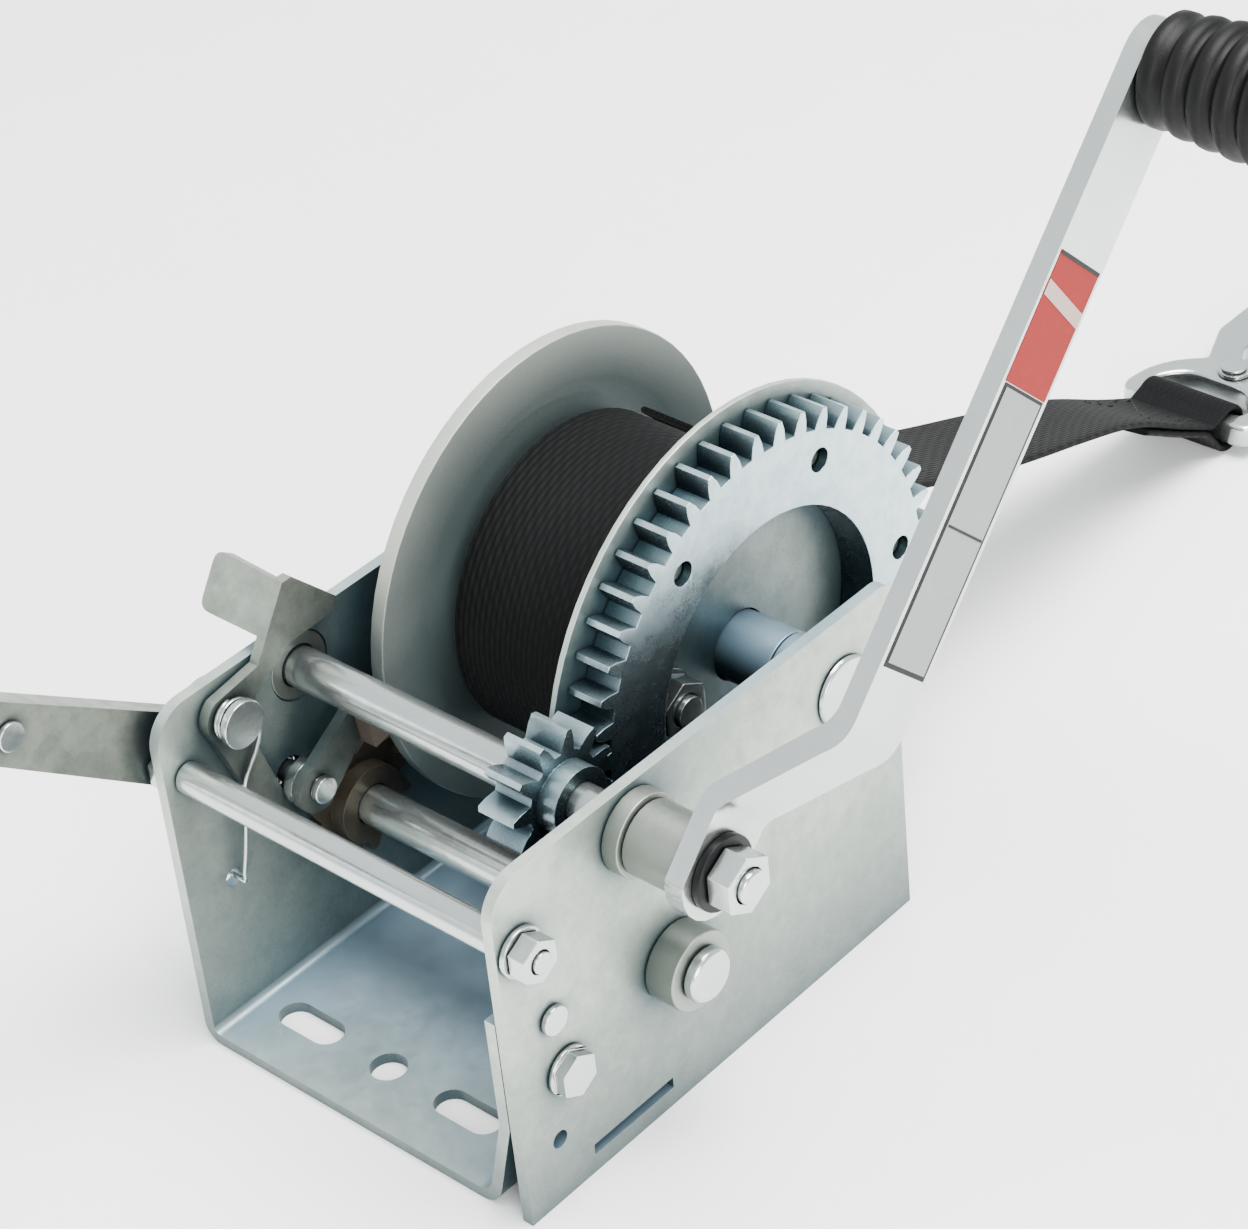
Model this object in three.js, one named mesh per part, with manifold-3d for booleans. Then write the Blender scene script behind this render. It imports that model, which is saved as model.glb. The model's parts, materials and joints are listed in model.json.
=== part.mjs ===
// Two-shaft boat trailer winch with a webbing strap, snap hook, ratchet pawl and hand brake.
// Millimetres. +X runs along the shafts to the crank side, +Y to the rear where the strap leaves, +Z up.
// Origin: centre of the base plate's underside.
import * as THREE from 'three';
import { mergeVertices } from 'three/addons/utils/BufferGeometryUtils.js';
import Module from 'manifold-3d';

const wasm = await Module();
wasm.setup();

// ---------------------------------------------------------------- driving dimensions
const GAP = 0.3;                       // air between neighbouring pieces
const SHEET = 3;                       // frame sheet thickness
const HALF_WIDTH = 52.5;               // middle to the outer face of a side plate
const HALF_DEPTH = 68;
const PLATE_HEIGHT = 96;
const INNER = HALF_WIDTH - SHEET;      // inner face of a side plate
const OUTER = HALF_WIDTH + GAP;        // where outside hardware may start

const MODULE = 2.5;                    // gear module
const DRUM_TEETH = 47;
const PINION_TEETH = 11;
const LOW_TEETH = 11;
const RATCHET_TEETH = 12;

const SHAFT_R = 5;
const BORE_R = SHAFT_R + GAP;
const UPPER = { y: -24, z: 84.5 };     // crank shaft
const DRUM_RISE = -8;                  // drum axis against the crank shaft
const LOW_ANGLE = 208.9;               // lower shaft seen from the drum axis
const DRUM_CENTRES = MODULE * (DRUM_TEETH + PINION_TEETH) / 2;
const LOW_CENTRES = MODULE * (DRUM_TEETH + LOW_TEETH) / 2;
const rad = THREE.MathUtils.degToRad;
const DRUM = {
  y: UPPER.y + Math.sqrt(DRUM_CENTRES ** 2 - DRUM_RISE ** 2),
  z: UPPER.z + DRUM_RISE,
};
const LOWER = {
  y: DRUM.y + LOW_CENTRES * Math.cos(rad(LOW_ANGLE)),
  z: DRUM.z + LOW_CENTRES * Math.sin(rad(LOW_ANGLE)),
};

const FLANGE_R = 60.3;                 // left drum flange
const FLANGE_X = -34.6;                // its face towards the strap
const DISC_R = 64.3;                   // right drum disc
const DISC_X = [20.5, 22];
const GEAR_X = [22.3, 32];
const PINION_X = [22.4, 33];
const GEAR_RING_R = 37.5;              // inside of the riveted gear ring
const RIVET_CIRCLE_R = 48.3;
const HUB_R = 8.7;
const CORE_R = 19;
const ROLL_R = 41;                     // strap wound on the drum
const STRAP_X = [-31.9, 18.1];
const STRAP_T = 2;

const TIE = { y: -61.5, z: 76.5, r: 3.9 };
const PLATE_BOLT = { y: -52, z: 35.5 };
const PLATE_RIVET = { y: -54.5, z: 52 };
const PLATE_HOLE = { y: -56.5, z: 17.6 };
const ANCHOR_HOLE = { y: -54, z: 41.3 };
const EAR_HEIGHT = 58;                 // front ear of the turned-up right flange
const LEDGE_HEIGHT = 14;

const PAWL = { y: -49.5, z: 87.3, x: [-48.6, -45.8] };
const BRAKE = { y: -32.2, z: 58.5, x: [-60.6, -57.6], angle: 143.2 };
const PAD_ANGLE = 187;                 // where the pad faces the flange rim, about the drum axis
const PAD_CLEARANCE = 2;

const CRANK_ANGLE = 46;
const CRANK_LENGTH = 190;              // shaft to grip axis
const CRANK_X = 72;                    // inner face of the crank's hub plate
const CRANK_T = 5;
const CRANK_JOG = 22.6;
const CRANK_WIDTH = 20;
const GRIP_LENGTH = 104;

const FINE = 64;                       // facets round large, middling and small circles
const MEDIUM = 28;
const SMALL = 16;

// ---------------------------------------------------------------- solid helpers
// A closed three.js geometry as a manifold solid, and back again.
function solid(geometry) {
  const bare = geometry.clone();
  bare.deleteAttribute('normal');
  bare.deleteAttribute('uv');
  const merged = mergeVertices(bare, 1e-4);
  const mesh = new wasm.Mesh({
    numProp: 3,
    vertProperties: new Float32Array(merged.attributes.position.array),
    triVerts: new Uint32Array(merged.index.array),
  });
  return new wasm.Manifold(mesh);
}

function geometryOf(manifold) {
  const mesh = manifold.getMesh();
  const geometry = new THREE.BufferGeometry();
  geometry.setAttribute('position', new THREE.BufferAttribute(mesh.vertProperties, 3));
  geometry.setIndex(new THREE.BufferAttribute(mesh.triVerts, 1));
  geometry.computeVertexNormals();
  return geometry;
}

function cut(body, ...tools) {
  return tools.reduce((left, tool) => left.subtract(tool), body);
}

function join(body, ...others) {
  return others.reduce((left, other) => left.add(other), body);
}

// ---------------------------------------------------------------- shape helpers
const FROM_YZ = new THREE.Matrix4().makeBasis(
  new THREE.Vector3(0, 1, 0), new THREE.Vector3(0, 0, 1), new THREE.Vector3(1, 0, 0));
const FROM_XZ = new THREE.Matrix4().makeBasis(
  new THREE.Vector3(1, 0, 0), new THREE.Vector3(0, 0, 1), new THREE.Vector3(0, -1, 0));

function extruded(outline, depth, curveSegments) {
  return new THREE.ExtrudeGeometry(outline, { depth, curveSegments, bevelEnabled: false });
}

// A flat outline given in (y, z), given thickness from x0 to x1.
function plateX(outline, x0, x1) {
  const geometry = extruded(outline, x1 - x0, 7);
  return solid(geometry.applyMatrix4(FROM_YZ).translate(x0, 0, 0));
}

// A flat outline given in (x, z), given depth from y0 to y1.
function plateY(outline, y0, y1) {
  const geometry = extruded(outline, y1 - y0, 6);
  return solid(geometry.applyMatrix4(FROM_XZ).translate(0, y1, 0));
}

// A flat outline given in (x, y), given thickness from z0 to z1.
function plateZ(outline, z0, z1) {
  const geometry = extruded(outline, z1 - z0, 6);
  return solid(geometry.translate(0, 0, z0));
}

function rodX(r, x0, x1, at, segments = MEDIUM) {
  const geometry = new THREE.CylinderGeometry(r, r, x1 - x0, segments);
  return solid(geometry.rotateZ(Math.PI / 2).translate((x0 + x1) / 2, at.y, at.z));
}

function hexX(acrossFlats, x0, x1, at) {
  return rodX(acrossFlats / Math.sqrt(3), x0, x1, at, 6);
}

function block(x, y, z) {
  const geometry = new THREE.BoxGeometry(x[1] - x[0], y[1] - y[0], z[1] - z[0]);
  return solid(geometry.translate((x[0] + x[1]) / 2, (y[0] + y[1]) / 2, (z[0] + z[1]) / 2));
}

// A turned piece about an X axis. The profile is a closed list of [radius, x], run so that x first
// grows along the outside and then falls along the bore.
function turnedX(profile, at, segments = MEDIUM) {
  const points = profile.map(([r, x]) => new THREE.Vector2(r, x));
  if (profile[0][0] > 0 || profile[profile.length - 1][0] > 0) points.push(points[0].clone());
  const geometry = new THREE.LatheGeometry(points, segments);
  return solid(geometry.rotateZ(-Math.PI / 2).translate(0, at.y, at.z));
}

function ringX(inner, outer, x0, x1, at, segments = MEDIUM) {
  return turnedX([[inner, x0], [outer, x0], [outer, x1], [inner, x1]], at, segments);
}

function polar(centre, r, degrees) {
  return { y: centre.y + r * Math.cos(rad(degrees)), z: centre.z + r * Math.sin(rad(degrees)) };
}

// ---------------------------------------------------------------- gears
// Straight-flanked teeth with generous backlash. A tooth is centred on the angle `phase`.
function gearOutline(teeth, phase, centre) {
  const pitchR = MODULE * teeth / 2;
  const pitch = Math.PI * MODULE;
  const sections = [
    [pitchR - 1.18 * MODULE, 0.27 * pitch],
    [pitchR, 0.205 * pitch],
    [pitchR + 0.92 * MODULE, 0.09 * pitch],
  ];
  const outline = new THREE.Shape();
  for (let i = 0; i < teeth; i++) {
    const middle = rad(phase + i * 360 / teeth);
    const flanks = [
      ...sections.map(([r, half]) => [r, middle - half / r]),
      ...sections.toReversed().map(([r, half]) => [r, middle + half / r]),
    ];
    flanks.forEach(([r, angle], k) => {
      const y = centre.y + r * Math.cos(angle);
      const z = centre.z + r * Math.sin(angle);
      if (i === 0 && k === 0) outline.moveTo(y, z);
      else outline.lineTo(y, z);
    });
  }
  outline.closePath();
  return outline;
}

// Phases that leave the three gears in mesh at rest.
const towardUpper = THREE.MathUtils.radToDeg(Math.atan2(UPPER.z - DRUM.z, UPPER.y - DRUM.y));
const DRUM_PHASE = towardUpper;
const PINION_PHASE = towardUpper + 180 + 180 / PINION_TEETH;
const drumToothPast = (DRUM_PHASE - LOW_ANGLE) % (360 / DRUM_TEETH);
const LOW_PHASE = LOW_ANGLE + 180 - drumToothPast * DRUM_TEETH / LOW_TEETH + 180 / LOW_TEETH;

function drumGear() {
  const ring = plateX(gearOutline(DRUM_TEETH, DRUM_PHASE, DRUM), ...GEAR_X);
  const opening = rodX(GEAR_RING_R, GEAR_X[0] - 1, GEAR_X[1] + 1, DRUM, FINE);
  const rivetHoles = rivetPlaces().map((at) => rodX(3, GEAR_X[0] - 1, GEAR_X[1] + 1, at, SMALL));
  return cut(ring, opening, ...rivetHoles);
}

function pinion(teeth, phase, centre) {
  const hub = rodX(8.6, PINION_X[1] - 0.5, PINION_X[1] + 5, centre);
  const blank = join(plateX(gearOutline(teeth, phase, centre), ...PINION_X), hub);
  return cut(blank, rodX(BORE_R, PINION_X[0] - 1, PINION_X[1] + 6, centre));
}

function ratchetWheel() {
  const x = [-48.9, -45.5];
  const tip = 17.2;
  const root = 13.2;
  const outline = new THREE.Shape();
  for (let i = 0; i < RATCHET_TEETH; i++) {
    const start = i * 360 / RATCHET_TEETH;
    const corners = [[root, 0], [tip, 4], [tip, 10], [root, 26]];
    corners.forEach(([r, turn], k) => {
      const at = polar(LOWER, r, start + turn);
      if (i === 0 && k === 0) outline.moveTo(at.y, at.z);
      else outline.lineTo(at.y, at.z);
    });
  }
  outline.closePath();
  const wheel = join(plateX(outline, ...x), rodX(10, x[1] - 0.5, x[1] + 4, LOWER));
  return cut(wheel, rodX(BORE_R, x[0] - 1, x[1] + 6, LOWER));
}

// ---------------------------------------------------------------- frame
// Side plate outline in (y, z) with rounded upper corners.
function plateOutline(bottom) {
  const front = 10;
  const rear = 5;
  const outline = new THREE.Shape();
  outline.moveTo(-HALF_DEPTH, bottom);
  outline.lineTo(HALF_DEPTH, bottom);
  outline.lineTo(HALF_DEPTH, PLATE_HEIGHT - rear);
  outline.absarc(HALF_DEPTH - rear, PLATE_HEIGHT - rear, rear, 0, Math.PI / 2);
  outline.lineTo(-HALF_DEPTH + front, PLATE_HEIGHT);
  outline.absarc(-HALF_DEPTH + front, PLATE_HEIGHT - front, front, Math.PI / 2, Math.PI);
  outline.closePath();
  return outline;
}

// The bent sheet's section in (x, z): left side, base, and the turned-up right flange, which leans in at its
// foot and so leaves a wedge-shaped gap beside the flat right plate.
function channelSection() {
  const tight = 5;
  const lean = 5.5;
  const leanTop = 27;
  const right = INNER - GAP;
  const foot = right - lean;
  const s = new THREE.Shape();
  s.moveTo(-HALF_WIDTH, PLATE_HEIGHT);
  s.lineTo(-HALF_WIDTH, tight);
  s.absarc(-HALF_WIDTH + tight, tight, tight, Math.PI, 1.5 * Math.PI);
  s.lineTo(foot - 7, 0);
  s.quadraticCurveTo(foot - 1.2, 0, foot + 0.4, 7);
  s.lineTo(right, leanTop);
  s.lineTo(right, EAR_HEIGHT);
  s.lineTo(right - SHEET, EAR_HEIGHT);
  s.lineTo(right - SHEET, leanTop + 0.5);
  s.lineTo(foot + 0.4 - SHEET, 7.6);
  s.quadraticCurveTo(foot - 3.4, SHEET, foot - 7.4, SHEET);
  s.lineTo(-HALF_WIDTH + tight, SHEET);
  s.absarc(-HALF_WIDTH + tight, tight, tight - SHEET, -Math.PI / 2, -Math.PI, true);
  s.lineTo(-INNER, PLATE_HEIGHT);
  s.closePath();
  return s;
}

function slotZ(x, y, length, width) {
  const r = width / 2;
  const half = length / 2 - r;
  const s = new THREE.Shape();
  s.moveTo(x - half, y - r);
  s.lineTo(x + half, y - r);
  s.absarc(x + half, y, r, -Math.PI / 2, Math.PI / 2);
  s.lineTo(x - half, y + r);
  s.absarc(x - half, y, r, Math.PI / 2, 1.5 * Math.PI);
  return plateZ(s, -1, SHEET + 1);
}

const BASE_HOLE_X = [-33, -7.5, 18];
const BASE_HOLE_Y = 52;

function baseHoles() {
  const [leftX, middleX, rightX] = BASE_HOLE_X;
  const round = new THREE.CylinderGeometry(4.6, 4.6, SHEET + 2, MEDIUM).rotateX(Math.PI / 2);
  const holes = [solid(round.translate(middleX, -BASE_HOLE_Y, SHEET / 2))];
  for (const y of [-BASE_HOLE_Y, BASE_HOLE_Y]) {
    holes.push(slotZ(leftX, y, 19, 8.6), slotZ(rightX, y, 19, 8.6));
  }
  return holes;
}

const BUSHING_R = 8.7;

function sideHoles(x0, x1) {
  const holes = [UPPER, LOWER].map((at) => rodX(BUSHING_R + GAP, x0, x1, at));
  holes.push(rodX(BORE_R, x0, x1, DRUM), rodX(2.9, x0, x1, TIE, SMALL));
  return holes;
}

// Curved slot beside the pawl's pivot.
function pawlSlot() {
  const inner = 8.6;
  const outer = 11.6;
  const s = new THREE.Shape();
  s.absarc(PAWL.y, PAWL.z, outer, rad(-25), rad(20));
  s.absarc(PAWL.y, PAWL.z, inner, rad(20), rad(-25), true);
  s.closePath();
  return plateX(s, -HALF_WIDTH - 1, -INNER + 1);
}

function frameChannel() {
  const left = [-HALF_WIDTH - 1, -INNER + 1];
  const channel = plateY(channelSection(), -HALF_DEPTH, HALF_DEPTH);
  const envelope = plateX(plateOutline(-1), -HALF_WIDTH - 1, HALF_WIDTH + 1);
  // Behind the front ear the right flange drops to a low ledge.
  const drop = new THREE.Shape();
  drop.moveTo(-40, EAR_HEIGHT + 1);
  drop.lineTo(-40, 26);
  drop.lineTo(-30, LEDGE_HEIGHT);
  drop.lineTo(HALF_DEPTH + 1, LEDGE_HEIGHT);
  drop.lineTo(HALF_DEPTH + 1, EAR_HEIGHT + 1);
  drop.closePath();
  const tools = [
    ...sideHoles(...left),
    rodX(3.8, ...left, PAWL, SMALL),
    rodX(4.3, ...left, BRAKE, SMALL),
    rodX(2.4, ...left, ANCHOR_HOLE, SMALL),
    pawlSlot(),
    plateX(drop, 30, INNER + 1),
    rodX(3.2, 40, INNER + 1, PLATE_BOLT, SMALL),
    rodX(2.8, 40, INNER + 1, PLATE_RIVET, SMALL),
    ...baseHoles(),
  ];
  return cut(channel.intersect(envelope), ...tools);
}

function sidePlateRight() {
  const x = [INNER - 1, HALF_WIDTH + 1];
  const slit = new THREE.Shape();
  slit.moveTo(-46.5, 5);
  slit.lineTo(-19.5, 5);
  slit.lineTo(-19.5, 8);
  slit.lineTo(-46.5, 8);
  slit.closePath();
  return cut(
    plateX(plateOutline(0), INNER, HALF_WIDTH),
    ...sideHoles(...x),
    rodX(3.2, ...x, PLATE_BOLT, SMALL),
    rodX(2.8, ...x, PLATE_RIVET, SMALL),
    rodX(2.3, ...x, PLATE_HOLE, SMALL),
    plateX(slit, ...x),
  );
}

function tieTube() {
  return ringX(2.9, TIE.r, -INNER + GAP, INNER - GAP, TIE);
}

function tieBolt() {
  return join(rodX(2.6, -OUTER - 1, 60, TIE, SMALL), hexX(10, -OUTER - 4, -OUTER, TIE));
}

function tieNut() {
  const nut = cut(hexX(10, OUTER + 1.7, OUTER + 6.5, TIE), rodX(2.9, OUTER, OUTER + 8, TIE, SMALL));
  return nut;
}

function washer(inner, outer, x0, x1, at) {
  return ringX(inner, outer, x0, x1, at);
}

function drumAxle() {
  return turnedX([
    [0, -60], [4.2, -60], [SHAFT_R, -59], [SHAFT_R, OUTER], [9, OUTER], [8.4, OUTER + 1.1], [5.5, OUTER + 2],
    [0, OUTER + 2.3],
  ], DRUM);
}

function axleNut() {
  return cut(hexX(18, -OUTER - 5.2, -OUTER, DRUM), rodX(BORE_R, -60, -OUTER + 1, DRUM));
}

// Flanged bushing: the body sits in the side plate and the flange lies outside.
function bushing(side, at, flangeR, flangeT) {
  const inner = side * (INNER + 0.1);
  const seat = side * OUTER;
  const end = side * (OUTER + flangeT);
  const profile = [
    [BORE_R, inner], [BUSHING_R, inner], [BUSHING_R, seat], [flangeR, seat], [flangeR, end], [BORE_R, end],
  ];
  return turnedX(side > 0 ? profile : profile.toReversed(), at);
}

function plateBolt() {
  const shank = rodX(2.9, 42.3, OUTER + 1, PLATE_BOLT, SMALL);
  return join(shank, hexX(10, OUTER, OUTER + 4, PLATE_BOLT), rodX(6.2, OUTER, OUTER + 1.1, PLATE_BOLT));
}

function plateNut() {
  return cut(hexX(10, 42.6, INNER - SHEET - 2 * GAP, PLATE_BOLT), rodX(3.2, 38, 50, PLATE_BOLT, SMALL));
}

function plateRivet() {
  const heads = [
    rodX(3.7, INNER - SHEET - GAP - 1.8, INNER - SHEET - 2 * GAP, PLATE_RIVET, SMALL),
    rodX(3.7, OUTER, OUTER + 1.5, PLATE_RIVET, SMALL),
  ];
  return join(rodX(2.5, INNER - SHEET - 1, OUTER + 1, PLATE_RIVET, SMALL), ...heads);
}

// ---------------------------------------------------------------- drum
function drumFlangeLeft() {
  const face = FLANGE_X;
  const t = 1.5;
  return turnedX([
    [9, face - 4], [42.4, face - 4], [47.4, face - t], [58.8, face - t], [58.8, face - 4],
    [FLANGE_R, face - 4], [FLANGE_R, face], [48, face], [43, face - 4 + t], [9, face - 4 + t],
  ], DRUM, FINE);
}

function drumDiscRight() {
  const disc = ringX(9, DISC_R, ...DISC_X, DRUM, FINE);
  const holes = rivetPlaces().map((at) => rodX(3, DISC_X[0] - 1, DISC_X[1] + 1, at, SMALL));
  return cut(disc, ...holes, rodX(4.3, DISC_X[0] - 1, DISC_X[1] + 1, ANCHOR));
}

function rivetPlaces() {
  return [4, 64, 124, 184, 244, 304].map((angle) => polar(DRUM, RIVET_CIRCLE_R, angle));
}

// Semi-tubular rivet, sunk below the gear face.
function gearRivet(at) {
  const shank = rodX(2.7, DISC_X[0] - 0.6, GEAR_X[1] - 2.5, at, SMALL);
  return join(shank, rodX(4.6, DISC_X[0] - 1.8, DISC_X[0] - GAP, at, SMALL));
}

function drumHub() {
  return ringX(BORE_R, HUB_R, -46.4, 37, DRUM);
}

function drumCore() {
  return ringX(CORE_R - 2.5, CORE_R, FLANGE_X - 2.2, DISC_X[0] - GAP, DRUM, 40);
}

const ANCHOR = polar(DRUM, 28, 176);   // bolt that clamps the strap's inner end

function strapRoll() {
  const roll = ringX(CORE_R + GAP, ROLL_R, ...STRAP_X, DRUM, FINE);
  return cut(roll, rodX(4.3, STRAP_X[0] - 1, STRAP_X[1] + 1, ANCHOR, SMALL));
}

function anchorBolt() {
  const shank = rodX(3.9, STRAP_X[0] - 1.2, DISC_X[1] + 9.5, ANCHOR, SMALL);
  return join(shank, hexX(13, STRAP_X[0] - 4, STRAP_X[0] - GAP, ANCHOR));
}

function anchorNut() {
  const nut = hexX(13, DISC_X[1] + 2.1, DISC_X[1] + 8, ANCHOR);
  return cut(join(nut, rodX(8, DISC_X[1] + GAP, DISC_X[1] + 2.1, ANCHOR)),
    rodX(4.2, DISC_X[1], DISC_X[1] + 9, ANCHOR, SMALL));
}

// ---------------------------------------------------------------- shafts
function inputShaft() {
  return turnedX([
    [0, -59], [4.4, -59], [SHAFT_R, -58.4], [SHAFT_R, 76], [4, 77], [4, 86.6], [3.4, 87.2], [0, 87.2],
  ], UPPER);
}

function lowShaft() {
  return turnedX([
    [0, -59], [4.4, -59], [SHAFT_R, -58.4], [SHAFT_R, 61.3], [6.6, 61.3], [6.6, 63.4],
    [5.9, 64.2], [0, 64.2],
  ], LOWER);
}

// Open retaining ring on the left end of a shaft.
function shaftClip(at) {
  const ring = ringX(BORE_R, 8, -57.6, -56.2, at);
  return cut(ring, block([-60, -54], [at.y - 2.2, at.y + 2.2], [at.z - 12, at.z]));
}

// ---------------------------------------------------------------- pawl
function pawlLever() {
  const p = (y, z) => [PAWL.y + y, PAWL.z + z];
  const s = new THREE.Shape();
  s.absarc(PAWL.y, PAWL.z, 6.6, rad(120), rad(215));
  s.lineTo(...p(-0.5, -17));
  s.lineTo(...p(5.6, -31));
  s.lineTo(...p(11.2, -40));
  s.lineTo(...p(14.6, -43));
  s.lineTo(...p(15.3, -41));
  s.lineTo(...p(5.8, -10));
  s.absarc(PAWL.y, PAWL.z, 6.6, rad(-35), rad(0));
  s.lineTo(...p(15.5, 4.4));
  s.lineTo(...p(20.5, 8));
  s.lineTo(...p(35, 8.6));
  s.lineTo(...p(36.5, 12));
  s.lineTo(...p(24.5, 24.4));
  s.lineTo(...p(21.6, 24.4));
  s.lineTo(...p(10.6, 7.8));
  s.closePath();
  const plate = cut(plateX(s, ...PAWL.x), rodX(3.8, -52, -40, PAWL, SMALL));
  // Thumb tab: folded out over the left side plate along the leaning front edge.
  const width = 19;
  const fold = rad(56.5);
  const tab = new THREE.Shape();
  tab.moveTo(PAWL.x[1], 6.2);
  tab.lineTo(PAWL.x[1], 19.9);
  tab.lineTo(PAWL.x[0] - width + 3, 20.6);
  tab.quadraticCurveTo(PAWL.x[0] - width, 20.6, PAWL.x[0] - width, 17.6);
  tab.lineTo(PAWL.x[0] - width, 9.2);
  tab.quadraticCurveTo(PAWL.x[0] - width, 6.2, PAWL.x[0] - width + 3, 6.2);
  tab.closePath();
  const sheet = extruded(tab, 2.8, 4);
  sheet.applyMatrix4(FROM_XZ).rotateX(fold - Math.PI / 2).translate(0, PAWL.y + 12.9, PAWL.z + 6.3);
  return join(plate, solid(sheet));
}

function pawlPivot() {
  return join(
    rodX(3.5, -OUTER - 1, PAWL.x[1] + 4, PAWL, SMALL),
    rodX(7, -OUTER - 2.2, -OUTER, PAWL),
    rodX(6, PAWL.x[1] + 3.2, PAWL.x[1] + 5.2, PAWL),
  );
}

// Torsion spring: nearly two turns round the pivot and a long leg hooked into the side plate.
const SPRING_X = PAWL.x[1] + 1.6;
const SPRING_LEG = [[-43.4, 82], [-45.2, 76], [-49.2, 69.5], [-50.6, 60], [-52.2, 50], [-53.8, 42.4]];

function springPath() {
  const turns = 25;
  const points = [];
  for (let i = 0; i <= turns; i++) {
    const at = polar(PAWL, 5, 330 - 600 + 600 * i / turns);
    points.push(new THREE.Vector3(SPRING_X - 0.75 + 1.5 * i / turns, at.y, at.z));
  }
  SPRING_LEG.forEach(([y, z], i) => points.push(new THREE.Vector3(SPRING_X + 0.75 - 0.5 * i, y, z)));
  return new THREE.CatmullRomCurve3(points);
}

function wireSection(r, sides) {
  const s = new THREE.Shape();
  for (let i = 0; i < sides; i++) {
    const angle = i * 2 * Math.PI / sides;
    if (i === 0) s.moveTo(r * Math.cos(angle), r * Math.sin(angle));
    else s.lineTo(r * Math.cos(angle), r * Math.sin(angle));
  }
  s.closePath();
  return s;
}

function pawlSpring() {
  const wire = new THREE.ExtrudeGeometry(wireSection(0.6, 6), {
    steps: 60, bevelEnabled: false, extrudePath: springPath(),
  });
  const end = SPRING_LEG[SPRING_LEG.length - 1];
  const hook = rodX(0.6, -51.5, SPRING_X - 1.2, { y: end[0], z: end[1] - 0.3 }, 6);
  return join(solid(wire), hook);
}

// ---------------------------------------------------------------- hand brake
function alongLever(u, v) {
  const c = Math.cos(rad(BRAKE.angle));
  const s = Math.sin(rad(BRAKE.angle));
  return [BRAKE.y + u * c + v * s, BRAKE.z + u * s - v * c];
}

const LEVER_RIVET = { y: alongLever(85, 0)[0], z: alongLever(85, 0)[1] };

function brakeLever() {
  const s = new THREE.Shape();
  s.moveTo(...alongLever(0, 9.5));
  s.lineTo(...alongLever(40, 8.8));
  s.lineTo(...alongLever(92, 7.2));
  s.lineTo(...alongLever(136, 6.4));
  s.lineTo(...alongLever(139, 3));
  s.lineTo(...alongLever(139, -3));
  s.lineTo(...alongLever(136, -6.4));
  s.lineTo(...alongLever(92, -7.2));
  s.lineTo(...alongLever(0, -9.5));
  const start = rad(BRAKE.angle + 90);
  s.absarc(BRAKE.y, BRAKE.z, 9.5, start, start + Math.PI);
  s.closePath();
  const lip = new THREE.Shape();
  lip.moveTo(...alongLever(16, 9.0));
  lip.lineTo(...alongLever(92, 7.2));
  lip.lineTo(...alongLever(92, 4.9));
  lip.lineTo(...alongLever(16, 6.7));
  lip.closePath();
  const body = join(plateX(s, ...BRAKE.x), plateX(lip, BRAKE.x[0] - 4.5, BRAKE.x[0] + 0.5));
  return cut(body, rodX(3.3, -70, -50, BRAKE, SMALL), rodX(2.3, -70, -50, LEVER_RIVET, SMALL));
}

function brakePin() {
  return join(
    rodX(3, -64.5, -37.5, BRAKE, SMALL),
    rodX(4.6, -57.3, -OUTER, BRAKE),
    rodX(5.2, -65, -60.9, BRAKE, 12),
    rodX(3.4, -39, -37.2, BRAKE, SMALL),
  );
}

function brakeNut() {
  return cut(rodX(6.2, -45.5, -42.6, BRAKE, 12), rodX(3.3, -46, -42, BRAKE, SMALL));
}

const BRAKE_ARM_X = [-42.3, -39.3];
const PAD_R = FLANGE_R + PAD_CLEARANCE;

function brakeArm() {
  const tipA = polar(DRUM, PAD_R + 5.2, PAD_ANGLE - 4.5);
  const tipB = polar(DRUM, PAD_R + 5.2, PAD_ANGLE + 4.5);
  const s = new THREE.Shape();
  s.moveTo(tipA.y, tipA.z);
  s.lineTo(BRAKE.y - 1, BRAKE.z + 6.5);
  s.absarc(BRAKE.y, BRAKE.z, 6.5, rad(100), rad(290));
  s.lineTo(tipB.y, tipB.z);
  s.closePath();
  return cut(plateX(s, ...BRAKE_ARM_X), rodX(3.3, -50, -30, BRAKE, SMALL));
}

function brakePad() {
  const s = new THREE.Shape();
  const half = 4.8;
  s.absarc(DRUM.y, DRUM.z, PAD_R + 4.6, rad(PAD_ANGLE - half), rad(PAD_ANGLE + half));
  s.absarc(DRUM.y, DRUM.z, PAD_R, rad(PAD_ANGLE + half), rad(PAD_ANGLE - half), true);
  s.closePath();
  return plateX(s, -42.8, -34.8);
}

function brakeRivet() {
  const heads = [rodX(3.6, -62.4, -60.9, LEVER_RIVET, SMALL), rodX(3.6, -57.3, -56, LEVER_RIVET, SMALL)];
  return join(rodX(2, -61.5, -57, LEVER_RIVET, SMALL), ...heads);
}

function brakeGrip() {
  const s = new THREE.Shape();
  s.moveTo(...alongLever(98, 11));
  s.lineTo(...alongLever(140, 10));
  s.quadraticCurveTo(...alongLever(147, 9), ...alongLever(147, 0));
  s.quadraticCurveTo(...alongLever(147, -9), ...alongLever(140, -10));
  s.lineTo(...alongLever(98, -11));
  s.closePath();
  const pocket = new THREE.Shape();
  pocket.moveTo(...alongLever(97, 7.6));
  pocket.lineTo(...alongLever(140, 6.9));
  pocket.lineTo(...alongLever(140, -6.9));
  pocket.lineTo(...alongLever(97, -7.6));
  pocket.closePath();
  return cut(plateX(s, BRAKE.x[0] - 3, BRAKE.x[1] + 3), plateX(pocket, BRAKE.x[0] - GAP, BRAKE.x[1] + GAP));
}

// ---------------------------------------------------------------- crank
// The crank is drawn along its own length u and the shaft direction x, then turned to its rest angle.
const FROM_UX = new THREE.Matrix4().makeBasis(
  new THREE.Vector3(0, 1, 0), new THREE.Vector3(1, 0, 0), new THREE.Vector3(0, 0, -1));

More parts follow.
